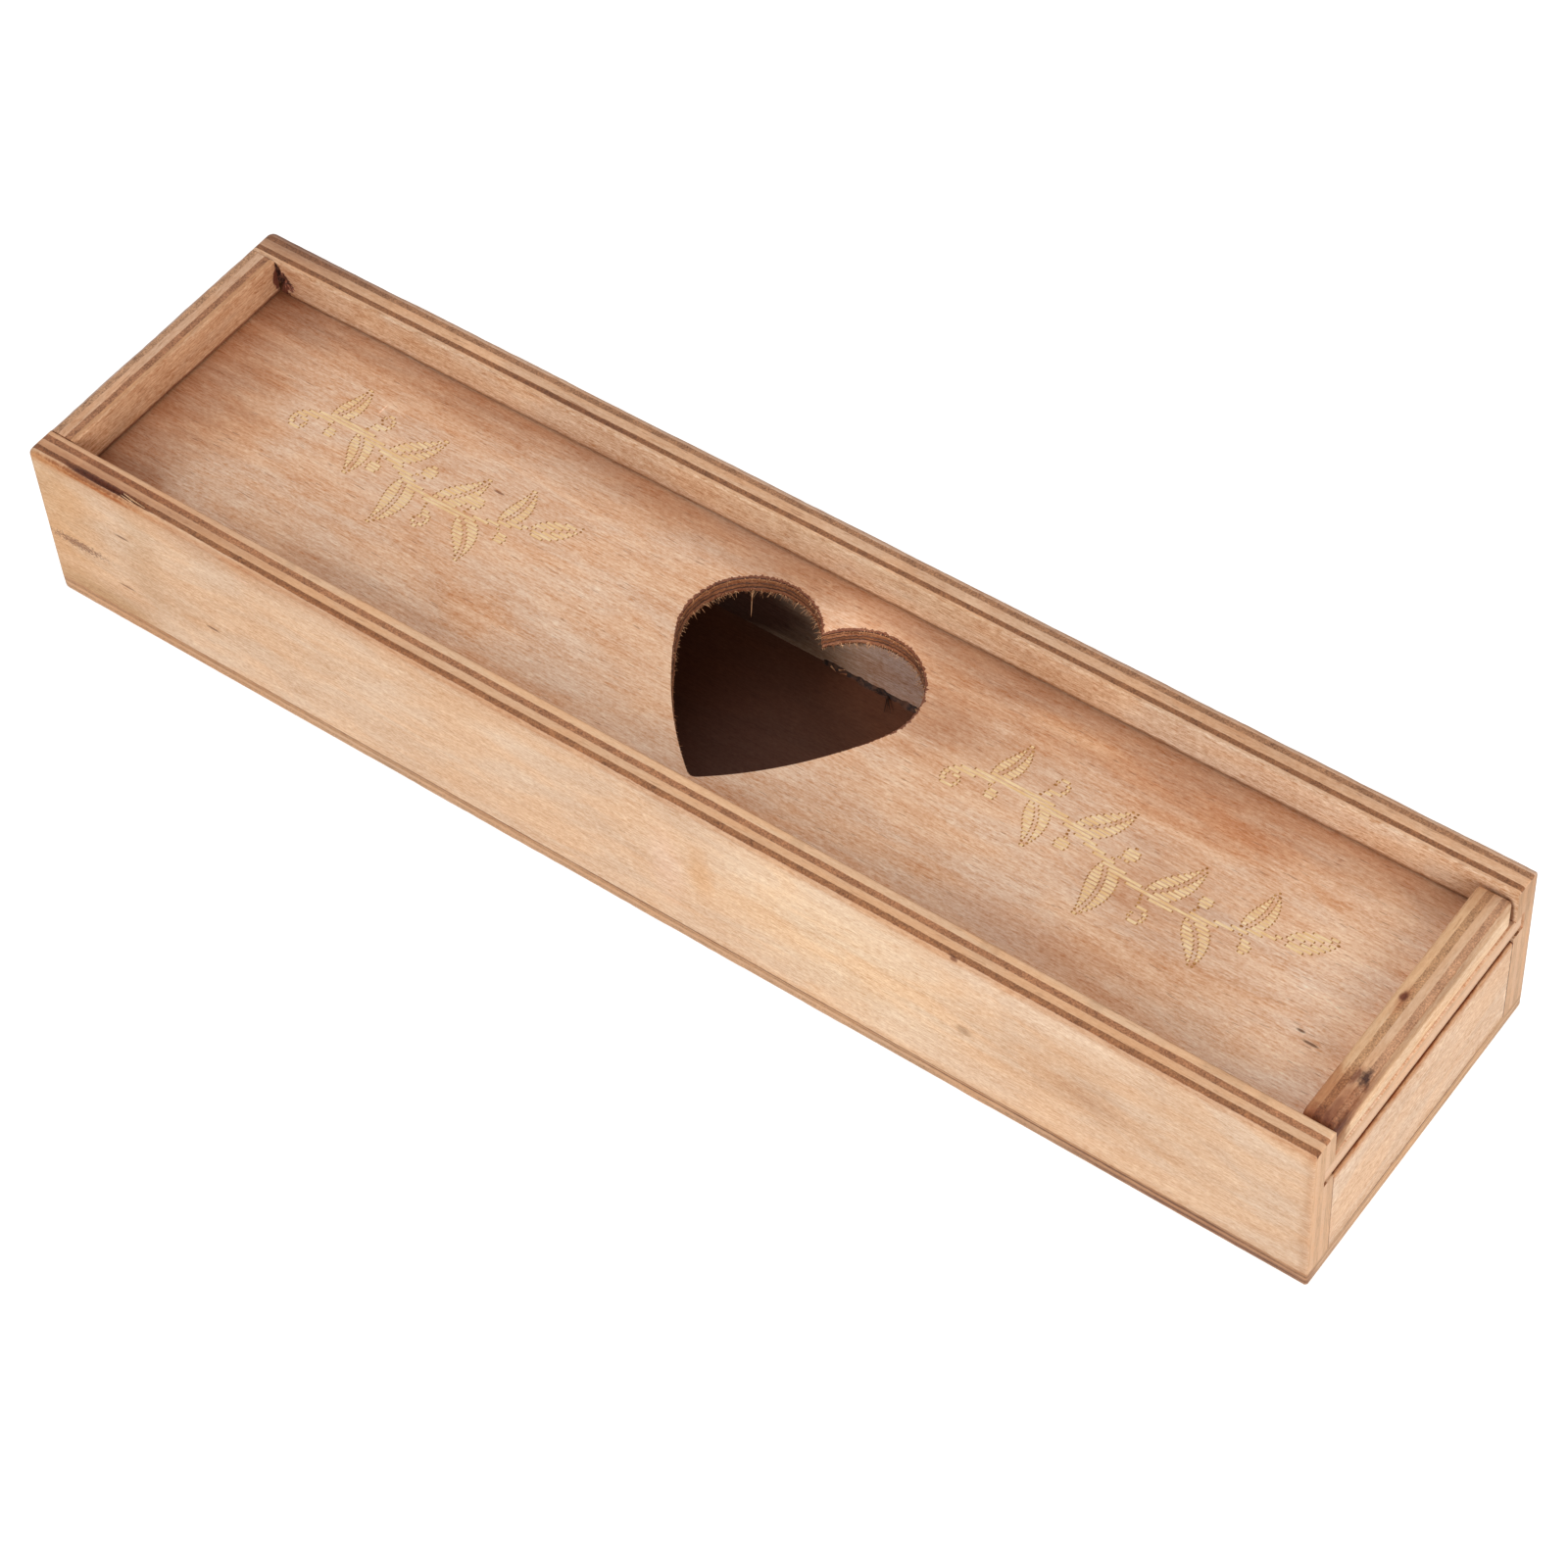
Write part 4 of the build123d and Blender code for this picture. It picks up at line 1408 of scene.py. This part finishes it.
def add_beam(name, target, azimuth, elevation, distance, reach, power):
    """A narrow lamp that shines through the heart window on the back side's inner face."""
    lamp = bpy.data.lights.new(name, "SPOT")
    lamp.energy = power
    lamp.spot_size = 2 * math.atan(reach / distance)
    lamp.spot_blend = 0.7
    lamp.shadow_soft_size = 4 * MM
    aim(put_in_scene(name, lamp), target, azimuth, elevation, distance)


def seen(t):
    """1 for the rays that show a white surrounding: camera, glossy and transmission ones."""
    path = t.add("ShaderNodeLightPath").outputs
    rays = t.math("ADD", path["Is Camera Ray"], path["Is Glossy Ray"])
    return t.math("ADD", rays, path["Is Transmission Ray"], clamp=True)


def light_the_box():
    add_softbox("key_softbox", azimuth=45, elevation=18, distance=1600, size=900, power=17.5)
    add_softbox("top_softbox", azimuth=-60, elevation=75, distance=1600, size=1200, power=4.0)
    behind_window = Vector((8.5, inner_half, 9.0))
    add_beam("window_beam", behind_window, azimuth=5, elevation=45, distance=350, reach=12, power=2.2)
    world = bpy.data.worlds.new("studio")
    bpy.context.scene.world = world
    world.use_nodes = True
    t = Tree(world.node_tree)
    background = world.node_tree.nodes["Background"]
    background.inputs["Color"].default_value = (1, 1, 1, 1)
    t.put(background.inputs["Strength"], t.spread(seen(t), 0.0, 1.0, SKY_LIGHT, 1.0))


def lay_floor():
    """White paper, which looks white from everywhere and keeps the box's shadow."""
    paper, t, shader = new_material("white_paper")
    shader.inputs["Base Color"].default_value = (PAPER_GREY, PAPER_GREY, PAPER_GREY, 1)
    shader.inputs["Roughness"].default_value = 1.0
    shader.inputs["Specular IOR Level"].default_value = 0.0
    shader.inputs["Emission Color"].default_value = (1, 1, 1, 1)
    t.put(shader.inputs["Emission Strength"], t.math("MULTIPLY", seen(t), PAPER_GLOW))
    bm = bmesh.new()
    bmesh.ops.create_grid(bm, x_segments=1, y_segments=1, size=3000 * MM)
    floor = put_in_scene("floor", to_mesh("floor", bm, [paper]))


place_camera()
light_the_box()
lay_floor()
bpy.context.scene.view_settings.view_transform = "Standard"
